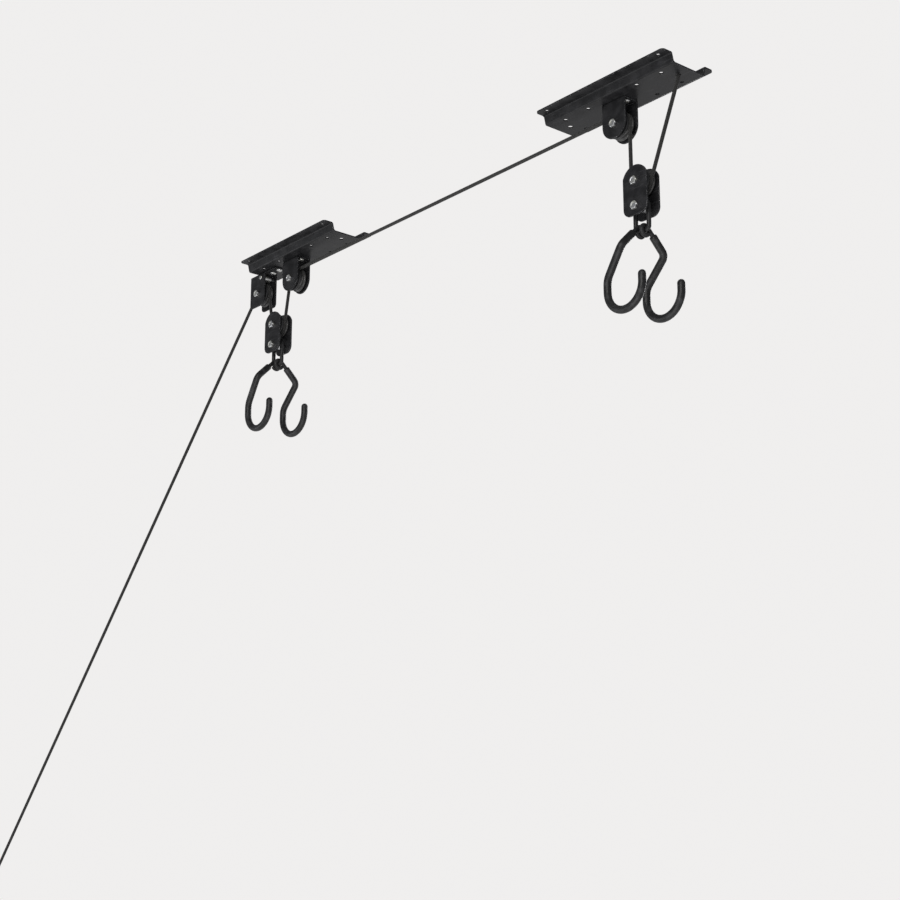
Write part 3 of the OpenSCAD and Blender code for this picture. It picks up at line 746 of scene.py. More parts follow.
@dataclass(frozen=True)
class PowderCoat(Coat):
    """Black powder coat on steel, with bright steel where its edges have worn."""

    wear: float = 0.5
    bare: Colour = (0.42, 0.42, 0.43)
    scuffed: Colour = (0.055, 0.055, 0.058)
    dusty: Colour = (0.13, 0.125, 0.115)

    def dress(self, graph: Graph, groups: Groups) -> dict:
        """Joins the coat's swell, its scuffs, its dust and its worn edges."""
        peel = graph.group(groups.peel, Scale=1100.0, Wave=70.0, Share=0.25)
        wear = graph.group(groups.edge_wear, Width=0.0007, Amount=self.wear, Scale=420.0)["Mask"]
        scuffs = graph.group(groups.scuffs, Scale=30.0, Amount=0.2)["Mask"]
        dust = graph.group(groups.dust, Amount=0.16, Scale=55.0)["Mask"]
        pale = tuple(min(1.0, c * 1.9 + 0.003) for c in self.colour)
        rough = graph.math("ADD", self.gloss(graph, peel["Patch"], 0.06, 0.08), graph.math("MULTIPLY", dust, 0.3))
        height = graph.math("SUBTRACT", peel["Height"], graph.math("MULTIPLY", wear, 0.5))
        return {
            "Base Color": graph.layers(
                self.colour, (graph.ramp(peel["Patch"], 0.3, 0.75), pale), (scuffs, self.scuffed),
                (dust, self.dusty), (wear, self.bare),
            ),
            "Roughness": graph.math("ADD", rough, graph.math("MULTIPLY", wear, -0.08), True),
            "Metallic": graph.math("MULTIPLY", wear, 0.85),
            "Specular IOR Level": 0.16,
            "Normal": graph.bump(height, 0.35, 0.12),
        }


@dataclass(frozen=True)
class ZincPlate(Coat):
    """Bright zinc plating with a faint passivated tint, dulled in patches."""

    tint: Colour = (0.45, 0.45, 0.40)
    scratched: Colour = (0.32, 0.32, 0.33)
    worn: Colour = (0.62, 0.62, 0.63)

    def dress(self, graph: Graph, groups: Groups) -> dict:
        """Joins the plating's tint, its dull patches and its scratches."""
        peel = graph.group(groups.peel, Scale=1600.0, Wave=160.0, Share=0.4)
        scuffs = graph.group(groups.scuffs, Scale=60.0, Amount=0.5)["Mask"]
        wear = graph.group(groups.edge_wear, Width=0.0004, Amount=0.6, Scale=700.0)["Mask"]
        rough = self.gloss(graph, peel["Patch"], 0.06, 0.14, 0.25)
        return {
            "Base Color": graph.layers(
                self.colour, (graph.ramp(peel["Patch"], 0.35, 0.7), self.tint), (scuffs, self.scratched),
                (wear, self.worn),
            ),
            "Roughness": graph.math("ADD", rough, graph.math("MULTIPLY", scuffs, 0.15), True),
            "Metallic": 1.0,
            "Normal": graph.bump(peel["Height"], 0.2, 0.05),
        }


@dataclass(frozen=True)
class MouldedPlastic(Coat):
    """Black moulded plastic whose groove the rope has polished and greyed."""

    groove: tuple[float, float] = (27.0, 43.0)
    fade: float = 1.2
    pale: Colour = (0.020, 0.020, 0.021)
    greyed: Colour = (0.050, 0.049, 0.047)

    def dress(self, graph: Graph, groups: Groups) -> dict:
        """Joins the moulding's grain and the rope's polish in the groove."""
        peel = graph.group(groups.peel, Scale=1500.0, Wave=120.0, Share=0.3)
        uv = graph.node("ShaderNodeUVMap", uv_map="UVMap").outputs[0]
        run = graph.node("ShaderNodeSeparateXYZ", {0: uv}).outputs["Y"]
        low, high = self.groove
        inside = graph.ramp(run, low, low + self.fade)
        rubbed = graph.math("MULTIPLY", inside, graph.ramp(run, high - self.fade, high, 1.0, 0.0))
        streak = graph.ramp(graph.noise(graph.place(), 420.0, 4.0, 0.6), 0.3, 0.62)
        rubbed = graph.math("MULTIPLY", rubbed, streak)
        rough = self.gloss(graph, peel["Patch"], 0.05, 0.07)
        return {
            "Base Color": graph.layers(
                self.colour, (graph.ramp(peel["Patch"], 0.3, 0.75), self.pale),
                (graph.math("MULTIPLY", rubbed, 0.6), self.greyed),
            ),
            "Roughness": graph.math("SUBTRACT", rough, graph.math("MULTIPLY", rubbed, 0.2), True),
            "Specular IOR Level": 0.3,
            "Normal": graph.bump(peel["Height"], 0.25, 0.06),
        }


@dataclass(frozen=True)
class DippedCoating(Coat):
    """Soft black coating, dipped on: slow swells, fine grain and paler rubs on its high places."""

    rub: Colour = (0.024, 0.024, 0.0255)
    scuffed: Colour = (0.045, 0.045, 0.047)
    dusty: Colour = (0.10, 0.096, 0.09)

    def dress(self, graph: Graph, groups: Groups) -> dict:
        """Joins the coating's swell and its rubbed places."""
        peel = graph.group(groups.peel, Scale=1300.0, Wave=130.0, Share=0.75)
        scuffs = graph.group(groups.scuffs, Scale=26.0, Amount=0.25)["Mask"]
        dust = graph.group(groups.dust, Amount=0.12, Scale=90.0)["Mask"]
        rough = self.gloss(graph, peel["Patch"], 0.05, 0.12)
        return {
            "Base Color": graph.layers(
                self.colour, (graph.ramp(peel["Patch"], 0.45, 0.8), self.rub), (scuffs, self.scuffed),
                (dust, self.dusty),
            ),
            "Roughness": graph.math("ADD", rough, graph.math("MULTIPLY", scuffs, 0.18), True),
            "Specular IOR Level": 0.22,
            "Coat Weight": 0.06,
            "Coat Roughness": 0.3,
            "Normal": graph.bump(peel["Height"], 0.4, 0.35),
        }


@dataclass(frozen=True)
class BraidedRope(Coat):
    """Dark braided rope: crossing yarns with painted shade in the low places between them, and a few paler flecks.
    """

    yarns: float = 8.0
    pitch: float = 11.0
    fleck: Colour = (0.06, 0.057, 0.053)
    fuzz: Colour = (0.08, 0.077, 0.072)

    def dress(self, graph: Graph, groups: Groups) -> dict:
        """Joins the braid's colour, the shade painted between its yarns, and its relief."""
        braid = graph.group(groups.braid, Yarns=self.yarns, Pitch=self.pitch, Fibre=9.0)
        # Painted shade: the braid's colour drops to a quarter of itself in the low places between its yarns, and
        # only the yarns' crowns keep the full colour.
        painted_braid_shade = tuple(c * 0.25 for c in self.colour)
        fibre = graph.ramp(braid["Fibres"], 0.5, 0.8)
        fuzz = graph.ramp(graph.noise(graph.place(), 700.0, 4.0, 0.7), 0.58, 0.8)
        return {
            "Base Color": graph.layers(
                painted_braid_shade, (graph.ramp(braid["Height"], 0.15, 0.75), self.colour),
                (graph.math("MULTIPLY", fibre, 0.55), self.fleck), (graph.math("MULTIPLY", fuzz, 0.3), self.fuzz),
            ),
            "Roughness": graph.ramp(braid["Fibres"], 0.3, 0.8, self.roughness - 0.1, self.roughness + 0.1),
            "Specular IOR Level": 0.25,
            "Sheen Weight": 0.08,
            "Sheen Roughness": 0.5,
            "Normal": graph.bump(braid["Height"], 0.9, 0.5),
        }


FINISHES: dict[Finish, Coat] = {
    Finish.BRACKET: PowderCoat("Powder coat on the brackets", (0.0068, 0.0068, 0.0074), 0.40, wear=0.38),
    Finish.BLOCK: PowderCoat("Powder coat on the blocks", (0.0070, 0.0070, 0.0077), 0.37, wear=0.45),
    Finish.ZINC: ZincPlate("Zinc plate", (0.50, 0.505, 0.52), 0.36),
    Finish.SHEAVE: MouldedPlastic("Moulded sheave plastic", (0.012, 0.012, 0.0125), 0.44),
    Finish.HOOK_STEEL: PowderCoat("Black hook steel", (0.0095, 0.0095, 0.010), 0.35, wear=0.5),
    Finish.COATING: DippedCoating("Dipped hook coating", (0.0068, 0.0068, 0.0072), 0.40),
    Finish.ROPE: BraidedRope("Braided rope", (0.0120, 0.0116, 0.0112), 0.82),
}
MATERIALS: dict[Finish, bpy.types.Material] = {}
BODY_OF: dict[str, str] = {}


# ---------------------------------------------------------------- fasteners


@dataclass
class Fasteners:
    """The hoist's bolts, nuts, rivets and pins."""

    across_flats: float = 10.0
    head_h: float = 4.0
    nut_h: float = 5.0
    thread_out: float = 1.5
    thread_pitch: float = 0.5
    thread_depth: float = 0.37
    chamfer: float = 0.45
    face_r: float = 4.6
    rivet_r: float = 2.5
    rivet_dome: Pairs = ((0.0, 4.5), (0.5, 4.4), (1.1, 3.95), (1.6, 3.2), (1.95, 2.2), (2.15, 1.1), (2.2, 0.3))

    @property
    def corner(self) -> float:
        """The radius of a hexagon's corners."""
        return self.across_flats / 2 / cos(pi / 6)

    def hexagon(self, most: float) -> Callable[[float], float]:
        """The outline of a hexagon, cut off at a greatest radius.

        Args:
            most: the greatest radius, where a chamfer has turned the corners off.

        Returns:
            The radius for each angle.
        """
        half = self.across_flats / 2

        def radius(angle: float) -> float:
            """The outline's radius at one angle."""
            within = (angle + pi / 6) % (pi / 3) - pi / 6
            return min(half / cos(within), most)

        return radius

    def bolt(self, node: str, axle: Vector, half: float) -> None:
        """A hexagon bolt with its head on the near side and bare thread past its nut.

        Args:
            node: the bolt's node.
            axle: a point on its axis, on the rope's plane.
            half: the distance of the head's seat from the rope's plane.
        """
        r, corner = SIZES.axle_d / 2, self.corner
        top = -half - self.head_h
        end = half + self.nut_h + self.thread_out
        levels: Levels = [
            (top + 0.35, 2.2), (top + 0.35, 3.0), (top, 3.4), (top, self.hexagon(self.face_r)),
            (top + self.chamfer / 2, self.hexagon((self.face_r + corner) / 2)),
            (top + self.chamfer, self.hexagon(corner)), (-half - 0.25, self.hexagon(corner)),
            (-half, self.hexagon(self.face_r + 0.1)), (-half, r), (half + self.nut_h - 0.2, r),
        ]
        crest, y = r - 0.05, half + self.nut_h - 0.1
        root = crest - self.thread_depth
        while y < end - 0.6:
            levels += [(y, crest), (y + 0.22, root), (y + 0.44, crest)]
            y += self.thread_pitch
        levels += [(end - 0.35, crest), (end, r - 0.6)]
        Shape().rings(axle, levels).finish(f"turned_{node}", Finish.ZINC, node, SMOOTH_HEX)

    def nut(self, node: str, axle: Vector, half: float) -> None:
        """A hexagon nut, chamfered on both faces and bored for its bolt.

        Args:
            node: the nut's node.
            axle: a point on its axis, on the rope's plane.
            half: the distance of its seat from the rope's plane.
        """
        r, corner, c = SIZES.bore_r, self.corner, self.chamfer
        low, high = half, half + self.nut_h
        levels: Levels = [
            (low + 0.4, r), (low, r + 0.4), (low, self.hexagon(self.face_r)), (low + c, self.hexagon(corner)),
            (high - c, self.hexagon(corner)), (high - c / 2, self.hexagon((self.face_r + corner) / 2)),
            (high, self.hexagon(self.face_r)), (high, r + 0.5), (high - 0.5, r),
        ]
        Shape().rings(axle, levels, closed=True).finish(f"tapped_{node}", Finish.ZINC, node, SMOOTH_HEX)

    def pair(self, name: str, axle: Vector, half: float, kind: str = "axle_") -> None:
        """A bolt and its nut, as their nodes are named."""
        self.bolt(f"{name}_{kind}bolt", axle, half)
        self.nut(f"{name}_{kind}nut", axle, half)

    def rivets(self, node: str, places: Iterable[float]) -> None:
        """Rivets with domed heads, up through a stirrup's bridge and a bracket's channel.

        Args:
            node: the rivets' node.
            places: the rivets' places along the bracket.
        """
        low = -SIZES.channel_depth - SIZES.stirrup_t
        high = SIZES.plate_t - SIZES.channel_depth
        levels = [(low - h, r) for h, r in reversed(self.rivet_dome)]
        levels += [(low, self.rivet_r), (high, self.rivet_r)]
        levels += [(high + h, r) for h, r in self.rivet_dome]
        shape = Shape()
        for x in places:
            shape.rings(Vector((x, 0.0, 0.0)), levels, sides=32, axis=UP)
        shape.finish(f"domed_{node}", Finish.ZINC, node, SMOOTH_HEAD)

    def pin(self, node: str, axle: Vector, half: float, diameter: float, head_d: float, head_h: float) -> None:
        """A pin with a low head on each side.

        Args:
            node: the pin's node.
            axle: a point on its axis, on the rope's plane.
            half: the distance of each head's seat from the rope's plane.
            diameter: the pin's diameter.
            head_d: its heads' diameter.
            head_h: its heads' height.
        """
        r = head_d / 2
        head = [(0.0, r - 0.1), (head_h * 0.55, r), (head_h * 0.85, r - 0.4), (head_h, r - 1.1)]
        levels = [(-half - h, r) for h, r in reversed(head)] + [(-half, diameter / 2), (half, diameter / 2)]
        levels += [(half + h, r) for h, r in head]
        Shape().rings(axle, levels, sides=32).finish(f"headed_{node}", Finish.ZINC, node, SMOOTH_HEAD)


# ---------------------------------------------------------------- brackets


@dataclass
class Bracket:
    """A pressed ceiling bracket with the stirrups that hang from it."""

    channel_half: float = 28.0
    lean: float = 3.0
    plate_edge: float = 0.25
    plate_fold: float = 1.6
    stirrup_edge: float = 0.3
    stirrup_fold: float = 1.7

    @staticmethod
    def runs_along(a: Vector, b: Vector) -> bool:
        """Tells whether an edge between two points runs along the bracket."""
        return abs(a.y - b.y) < SAME and abs(a.z - b.z) < SAME and abs(a.x - b.x) > 0.5

    def is_fold(self, a: Vector, b: Vector) -> bool:
        """Tells the channel's four long folds from other edges."""
        near = self.channel_half - 3.0 < abs(a.y) < self.channel_half + self.lean + 0.5
        return near and self.runs_along(a, b)

    def is_stirrup_fold(self, a: Vector, b: Vector) -> bool:
        """Tells the outer fold between a stirrup's bridge and its cheeks."""
        at_corner = abs(abs(a.y) - SIZES.stirrup_half) < SAME and abs(a.z + SIZES.channel_depth) < SAME
        return at_corner and self.runs_along(a, b)

    def plate(self, node: str) -> None:
        """One pressed plate, with rounded folds and eased edges."""
        shape = Shape().eased(node, self.plate_edge, self.plate_fold, self.is_fold)
        shape.finish(f"pressed_{node}", Finish.BRACKET, node, flat=True)

    def stirrup(self, node: str) -> None:
        """One folded stirrup, with rounded folds and eased edges."""
        shape = Shape().eased(node, self.stirrup_edge, self.stirrup_fold, self.is_stirrup_fold)
        shape.finish(f"folded_{node}", Finish.BRACKET, node, flat=True)


@dataclass
class Sheave:
    """A moulded sheave: a hub, a ribbed web and a grooved rim."""

    rim_r: float = 18.3
    rim_w: float = 12.0
    hub_r: float = 7.0
    web_t: float = 5.0
    groove_r: float = 2.8
    floor_t: float = 2.4
    edge: float = 2.0
    rib_count: int = 6
    rib_start: float = 0.3
    rib_t: float = 1.3
    rib_h: float = 2.2

    @property
    def foot(self) -> float:
        """The radius at which the rim stands on the web."""
        return SIZES.bend_r - self.groove_r - self.floor_t

    def profile(self, hub: float) -> Levels:
        """The sheave's section.

        Args:
            hub: half of the hub's length.

        Returns:
            Pairs of a place along the axle and a radius, round from the bore and back to it.
        """
        bore, web, rim, foot, hub_r = SIZES.bore_r, self.web_t / 2, self.rim_w / 2, self.foot, self.hub_r
        flank = rim - self.edge
        half = [
            (-hub + 0.5, bore), (-hub, bore + 0.5), (-hub, hub_r - 0.6), (-hub + 0.2, hub_r - 0.2),
            (-hub + 0.7, hub_r), (-web - 0.9, hub_r), (-web - 0.25, hub_r + 0.25), (-web, hub_r + 0.9),
            (-web, foot - 0.9), (-web - 0.25, foot - 0.25), (-web - 0.9, foot), (-rim + 0.4, foot),
            (-rim, foot + 0.4), (-rim, self.rim_r - 0.5), (-rim + 0.15, self.rim_r - 0.15), (-rim + 0.5, self.rim_r),
            (-flank - 0.35, self.rim_r), (-flank + 0.1, self.rim_r - 0.25),
        ]
        turns = [radians(180.0 + 180.0 * k / 12) for k in range(13)]
        groove = [(self.groove_r * cos(a), SIZES.bend_r + self.groove_r * sin(a)) for a in turns]
        return half + groove + [(-y, r) for y, r in reversed(half)]

    def build(self, node: str, axle: Vector, gap: float) -> None:
        """One sheave with ribs on both faces of its web.

        Args:
            node: the sheave's node.
            axle: its middle.
            gap: the gap between the cheeks that it turns in.
        """
        shape = Shape().rings(axle, self.profile((gap - 2 * SIZES.seat_gap) / 2), sides=64, closed=True)
        mid, length = (self.hub_r + self.foot) / 2, self.foot - self.hub_r + 0.8
        for i in range(self.rib_count):
            for side in Side:
                a = TURN * i / self.rib_count + self.rib_start
                centre = axle + Vector((mid * cos(a), side.value * (self.web_t / 2 + 1.0), mid * sin(a)))
                shape.block(centre, Vector((length, self.rib_h, self.rib_t)), -a, 0.25)
        shape.finish(f"moulded_{node}", Finish.SHEAVE, node, SMOOTH_MOULD)


@dataclass
class RopeLock:
    """The toothed cam over the lock's sheave, on its pin."""

    pin_at: Vector = point(9.0, 0.0, 25.2)
    cam_edge: float = 0.18
    pin_d: float = 4.0
    head_d: float = 7.0
    head_h: float = 1.5

    def build(self, fasteners: Fasteners) -> None:
        """Makes the cam and its pin."""
        cam = Shape().eased("lock_cam", self.cam_edge)
        cam.finish("cast_lock_cam", Finish.ZINC, "lock_cam", SMOOTH_CAST, flat=True)
        at = SIZES.lock_axle + self.pin_at
        fasteners.pin("lock_cam_pin", at, SIZES.stirrup_half, self.pin_d, self.head_d, self.head_h)


# ---------------------------------------------------------------- blocks and hooks


@dataclass
class PulleyBlock:
    """A pulley block: two cheeks, a sheave, and a link on a sleeve that carries the hooks."""

    end: End
    link_w: float = 22.0
    wire_d: float = 6.0
    sleeve_d: float = 10.0
    bend_r: float = 5.0
    wire_gap: float = 0.6
    weld_drop: float = 6.0
    weld_rise: float = 0.35
    weld_half: float = 2.6
    link_step: float = 2.0
    cheek_edge: float = 0.4

    @property
    def link_bolt(self) -> Vector:
        """The bolt that carries the link."""
        return SIZES.block(self.end) - UP * SIZES.link_bolt_drop

    def sleeve(self) -> None:
        """The sleeve on the link bolt, chamfered at both ends."""
        node = f"{self.end.value}_link_sleeve"
        half, r, bore = (SIZES.block_gap - 2 * SIZES.seat_gap) / 2, self.sleeve_d / 2, SIZES.bore_r
        levels = [(-half + 0.3, bore), (-half, bore + 0.3), (-half, r - 0.4), (-half + 0.4, r)]
        levels += [(-y, radius) for y, radius in reversed(levels)]
        Shape().rings(self.link_bolt, levels, sides=40, closed=True).finish(f"turned_{node}", Finish.ZINC, node)

    def link(self) -> None:
        """The closed wire link, with the bead where its ends are welded."""
        node = f"{self.end.value}_link"
        top = self.sleeve_d / 2 + SIZES.seat_gap + self.wire_d / 2
        half, low, at = self.link_w / 2, -SIZES.link_drop, self.link_bolt
        places = ((0.0, top), (half, top), (half, low), (-half, low), (-half, top), (-self.wire_gap, top))
        corners = [at + Vector((x, 0.0, z)) for x, z in places]
        line = Lines.divided(Lines.bent(corners, [top, self.bend_r, self.bend_r, top]), self.link_step)
        weld = at + Vector((half, 0.0, -self.weld_drop))
        radii = [
            self.wire_d / 2 + self.weld_rise * max(0.0, 1.0 - (p - weld).length / self.weld_half) for p in line
        ]
        shape = Shape().tube(line, radii, sides=24, closed=True)
        shape.finish(f"bent_{node}", Finish.HOOK_STEEL, node, SMOOTH_WIRE)

    def build(self, fasteners: Fasteners, sheave: Sheave) -> None:
        """Makes the block's pieces.

        Args:
            fasteners: makes its bolts and nuts.
            sheave: makes its sheave.
        """
        word, axle = self.end.value, SIZES.block(self.end)
        for side in Side:
            node = f"{word}_block_{side.word}_cheek"
            cheek = Shape().eased(node, self.cheek_edge)
            cheek.finish(f"blanked_{node}", Finish.BLOCK, node, flat=True)
        sheave.build(f"{word}_block_sheave", axle, SIZES.block_gap)
        fasteners.pair(f"{word}_block", axle, SIZES.block_half)
        fasteners.pair(f"{word}_link", self.link_bolt, SIZES.block_half, "")
        self.sleeve()
        self.link()


@dataclass
class Hook:
    """A coated wire hook: an eye on the link's bar, a leg that leans out, and a round J."""

    end: End
    side: Side
    bar_d: float = 6.0
    rod_d: float = 6.0
    coat_d: float = 10.0
    coat_step: float = 3.0
    bend_step: float = 4.0
    gap: float = 2.0
    lean: float = 45.0
    knee_out: float = 34.0
    shank_out: float = 30.0
    round_r: float = 29.0
    depth: float = 107.0
    tip_rise: float = 8.0
    shank_rise: float = 16.0
    knee_bend: float = 11.0
    shank_bend: float = 20.0
    eye_turn: float = 286.0
    eye_steps: int = 40
    eye_taper: float = 0.7
    lip: Pairs = ((0.0, 0.35), (0.25, 1.2), (0.7, 1.65), (1.4, 2.0))
    lip_end: float = 2.2
    dome: tuple[float, ...] = (15, 30, 45, 58, 70, 80, 86)

    @property
    def eye_r(self) -> float:
        """The radius of the eye's middle line round the bar."""
        return self.bar_d / 2 + SIZES.seat_gap + self.rod_d / 2

    @property
    def leave(self) -> Vector:
        """The point where the leg leaves the eye, for a near hook."""
        a = radians(self.lean)
        return self.eye_r * Vector((0.0, -cos(a), sin(a)))

    @property
    def leg(self) -> Vector:
        """The leg's direction, for a near hook."""
        a = radians(self.lean)
        return Vector((0.0, -sin(a), -cos(a)))

    def leg_line(self, start: float) -> list[Vector]:
        """The middle line from a point on the leg to the tip, for a near hook.

        Args:
            start: the distance along the leg at which the line starts.

        Returns:
            The line's points.
        """
        mid_z = self.round_r - self.depth
        knee = self.leave + self.leg * ((self.knee_out + self.leave.y) / sin(radians(self.lean)))
        shank = (
            (-self.round_r, mid_z + self.shank_rise), (-self.round_r, -self.depth),
            (self.round_r, -self.depth), (self.round_r, mid_z + self.tip_rise),
        )
        corners = [self.leave + self.leg * start, knee] + [Vector((x, -self.shank_out, z)) for x, z in shank]
        return Lines.bent(corners, [self.knee_bend, self.shank_bend, self.round_r, self.round_r], self.bend_step)

    def placed(self, line: Sequence[Vector]) -> list[Vector]:
        """A near hook's line, in this hook's place."""
        shift = SIZES.bar(self.end) + ALONG * (self.side.value * (self.rod_d + self.gap) / 2)
        return [Vector((p.x, -self.side.value * p.y, p.z)) + shift for p in line]

    def rod(self, base: str) -> None:
        """The hook's bare rod, from the cut end of its eye to its tip."""
        eye = []
        for k in range(self.eye_steps):
            a = -radians(self.eye_turn) * (1 - k / self.eye_steps)
            eye.append(self.leave * cos(a) + self.leg * self.eye_r * sin(a))
        bare = Lines.distinct(eye + self.leg_line(0.0))
        radii = [self.rod_d / 2 - self.eye_taper] + [self.rod_d / 2] * (len(bare) - 1)
        shape = Shape().tube(self.placed(bare), radii, across=ALONG)
        shape.finish(f"bent_{base}_rod", Finish.HOOK_STEEL, f"{base}_rod", SMOOTH_WIRE)

    def coat(self, base: str) -> None:
        """The hook's coating, from its lip below the eye to its domed tip."""
        line = Lines.divided(self.leg_line(self.eye_r + self.rod_d), self.coat_step)
        outer = self.coat_d / 2
        lip = [line[0] + self.leg * d for d, _ in self.lip]
        body = [p for p in line[1:] if (p - line[0]).length > self.lip_end]
        turns = [radians(a) for a in self.dome]
        dome = [line[-1] + UP * (outer * sin(a)) for a in turns]
        radii = [self.rod_d / 2 + rise for _, rise in self.lip]
        radii += [outer] * len(body) + [outer * cos(a) for a in turns]
        shape = Shape().tube(self.placed(lip + body + dome), radii, sides=28, across=ALONG)
        shape.finish(f"dipped_{base}_coat", Finish.COATING, f"{base}_coat", SMOOTH_CORD)

    def build(self) -> None:
        """Makes the hook's bare rod and its coating."""
        base = f"{self.end.value}_{self.side.word}_hook"
        self.rod(base)
        self.coat(base)


# ---------------------------------------------------------------- rope


@dataclass(frozen=True)
class Knot:
    """A stopper knot: its height, its turns, and how far its ends tuck in towards the core."""

    height: float
    turns: float
    tuck: float

    def line(self, base: Vector, aim: Vector) -> list[Vector]:
        """The middle line of the knot's turns round its own core.

        Args:
            base: the middle of the knot's near face.
            aim: the direction from there to its far face.

        Returns:
            The line's points.
        """
        r = SIZES.rope_d / 2
        first = ACROSS if abs(aim.dot(ACROSS)) < 0.9 else ALONG
        second = aim.cross(first)
        count = int(self.turns * 24)
        line = []
        for k in range(count + 1):
            share = k / count
            a = TURN * self.turns * share
            out = 2 * r * (1 - self.tuck * (max(0.0, abs(share - 0.5) * 2 - 0.8) / 0.2) ** 2)
            along = r + (self.height - 2 * r) * share
            line.append(base + aim * along + (first * cos(a) + second * sin(a)) * out)
        return line


@dataclass
class Rope:
    """The one rope, cut where it passes from body to body."""

    step: float = 6.0
    far: float = 0.0
    sides: int = 16
    squeeze: float = 0.05
    neck_bend: float = 8.0
    neck_run: float = 20.0
    reach: float = 60.0
    eye_edge: float = 0.5
    anchor_knot: Knot = Knot(10.2, 1.6, 0.15)
    tail_knot: Knot = Knot(17.0, 2.6, 0.12)
    core_ends: Pairs = ((0.0, 2.5), (6.0, 2.5), (12.0, 2.5), (16.2, 2.5), (16.8, 2.2), (17.2, 1.5))

    @property
    def knot_r(self) -> float:
        """The rope's radius where a knot squeezes it."""
        return SIZES.rope_d / 2 - self.squeeze

    def piece(self, node: str, line: Sequence[Vector]) -> Thing:
        """One stretch of rope, whose braid goes on where the last stretch ended.

        Args:
            node: the node that it stands for.
            line: its middle line.

        Returns:
            The stretch.
        """
        shape = Shape().tube(line, SIZES.rope_d / 2, sides=self.sides, start=self.far)
        self.far += Lines.length(line)
        return shape.finish(f"braided_{node}", Finish.ROPE, node, SMOOTH_CORD)

    def block(self, end: End) -> None:
        """The rope round one block's sheave and its two strands."""
        s = SIZES
        if end is End.FRONT:
            tilt = s.front_slant
            self.strand("front_left_strand", s.side(s.lock_axle, tilt), s.side(s.front_block, 180 + tilt), end)
            self.piece("front_block_rope", Lines.arc(s.front_block, s.bend_r, 180 + tilt, 360 - tilt, self.step))
            self.strand("front_right_strand", s.side(s.inner_axle, 180 - tilt), s.side(s.front_block, -tilt), end)
            return
        foot = s.side(s.rear_block, -s.anchor_slant)
        self.strand("rear_left_strand", s.side(s.rear_axle, 0), s.side(s.rear_block, 180), end)
        self.piece("rear_block_rope", Lines.arc(s.rear_block, s.bend_r, 180, 360 - s.anchor_slant, self.step))
        self.strand("rear_right_strand", s.anchor + (foot - s.anchor).normalized() * s.rope_d, foot, end)

    def strand(self, node: str, top: Vector, foot: Vector, end: End) -> None:
        """A straight strand, taken off its body and left with its place baked into its mesh.

        Args:
            node: the strand's node.
            top: its upper end, on the ceiling set.
            foot: its lower end, on the block.
            end: the block's end of the hoist; not used.
        """
        strand = self.piece(node, [top, foot - (foot - top).normalized() * SIZES.foot_gap])
        strand.parent = None
        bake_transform(strand)

    def anchor(self) -> None:
        """The rope's fixed end: its neck through the rope hole and the knot above it."""
        s, knot = SIZES, self.anchor_knot
        down = (s.side(s.rear_block, -s.anchor_slant) - s.anchor).normalized()
        seat = s.anchor.copy()
        seat.z = s.plate_t - s.channel_depth + s.seat_gap
        corners = [seat + UP * knot.height, s.anchor, s.anchor + down * s.rope_d]
        line = Lines.bent(corners, [self.neck_bend], self.step)
        shape = Shape().tube(line, s.rope_d / 2, sides=self.sides, start=self.far)
        shape.tube(knot.line(seat, UP), self.knot_r, sides=self.sides, across=UP, start=self.far + self.neck_run)
        shape.finish("braided_anchor_rope", Finish.ROPE, "anchor_rope", SMOOTH_CORD)

    def tail(self) -> None:
        """The taut tail down to its wall eye, and the stopper knot behind the eye's ring."""
        s = SIZES
        a = radians(s.tail_slant)
        start = s.lock_axle + s.bend_r * Vector((-sin(a), 0.0, cos(a)))
        route = [start + Vector((-s.tail_run * k, 0.0, -s.tail_drop * k)) for k in range(s.tail_steps + 1)]
        tail = self.piece("tail_rope", route)
        aim = (route[1] - route[0]).normalized()
        turns = self.tail_knot.line(route[-1], aim)
        shape = Shape().tube(turns, self.knot_r, sides=self.sides, across=aim, start=self.far)
        core = [route[-1] + aim * d for d, _ in self.core_ends]
        shape.tube(core, [r for _, r in self.core_ends], sides=self.sides, start=self.far)
        knot = shape.finish("tied_tail_knot", Finish.ROPE, "tail_knot", SMOOTH_CORD)
        ring = Shape().eased("wall_eye", self.eye_edge)
        eye = ring.finish("forged_wall_eye", Finish.ZINC, "wall_eye", flat=True)
        points = [p * MM for p in route]
        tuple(points[0])
        Lines.length(route) * MM

    def build(self) -> None:
        """Makes the whole rope from its anchored end to its tail."""
        s = SIZES
        self.anchor()
        self.block(End.REAR)
        over = Lines.arc(s.rear_axle, s.bend_r, 0, 90, self.step)
        over += Lines.divided([s.side(s.rear_axle, 90), s.side(s.inner_axle, 90)], self.reach)[1:]
        over += Lines.arc(s.inner_axle, s.bend_r, 90, 180 - s.front_slant, self.step)[1:]
        self.piece("ceiling_rope", over)
        self.block(End.FRONT)
        self.piece("lock_rope", Lines.arc(s.lock_axle, s.bend_r, s.front_slant, 90 + s.tail_slant, self.step))
        self.tail()


# ---------------------------------------------------------------- studio


@dataclass(frozen=True)
class Lamp:
    """One square soft lamp: its name, its place and side in metres, its power and its colour."""

    name: str
    place: tuple[float, float, float]
    size: float
    watts: float
    colour: Colour = (1.0, 1.0, 1.0)

    def build(self, target: Vector) -> None:
        """Makes the lamp, turned towards a target."""
        data = bpy.data.lights.new(self.name, "AREA")
        data.shape, data.size, data.energy, data.color = "SQUARE", self.size, self.watts, self.colour
        lamp = linked(self.name, data)
        lamp.location = self.place
        lamp.visible_camera = False
        lamp.rotation_euler = (target - Vector(self.place)).to_track_quat("-Z", "Y").to_euler()


LAMPS = (
    Lamp("key", (1.9, -2.6, 0.4), 1.6, 55.0, (1.0, 0.985, 0.96)),
    Lamp("fill", (-1.8, -2.0, -0.9), 1.8, 20.0, (0.95, 0.97, 1.0)),
    Lamp("under", (0.9, -0.9, -1.25), 1.2, 12.0),
    Lamp("rim", (-0.4, 2.4, 0.6), 1.4, 30.0),
)


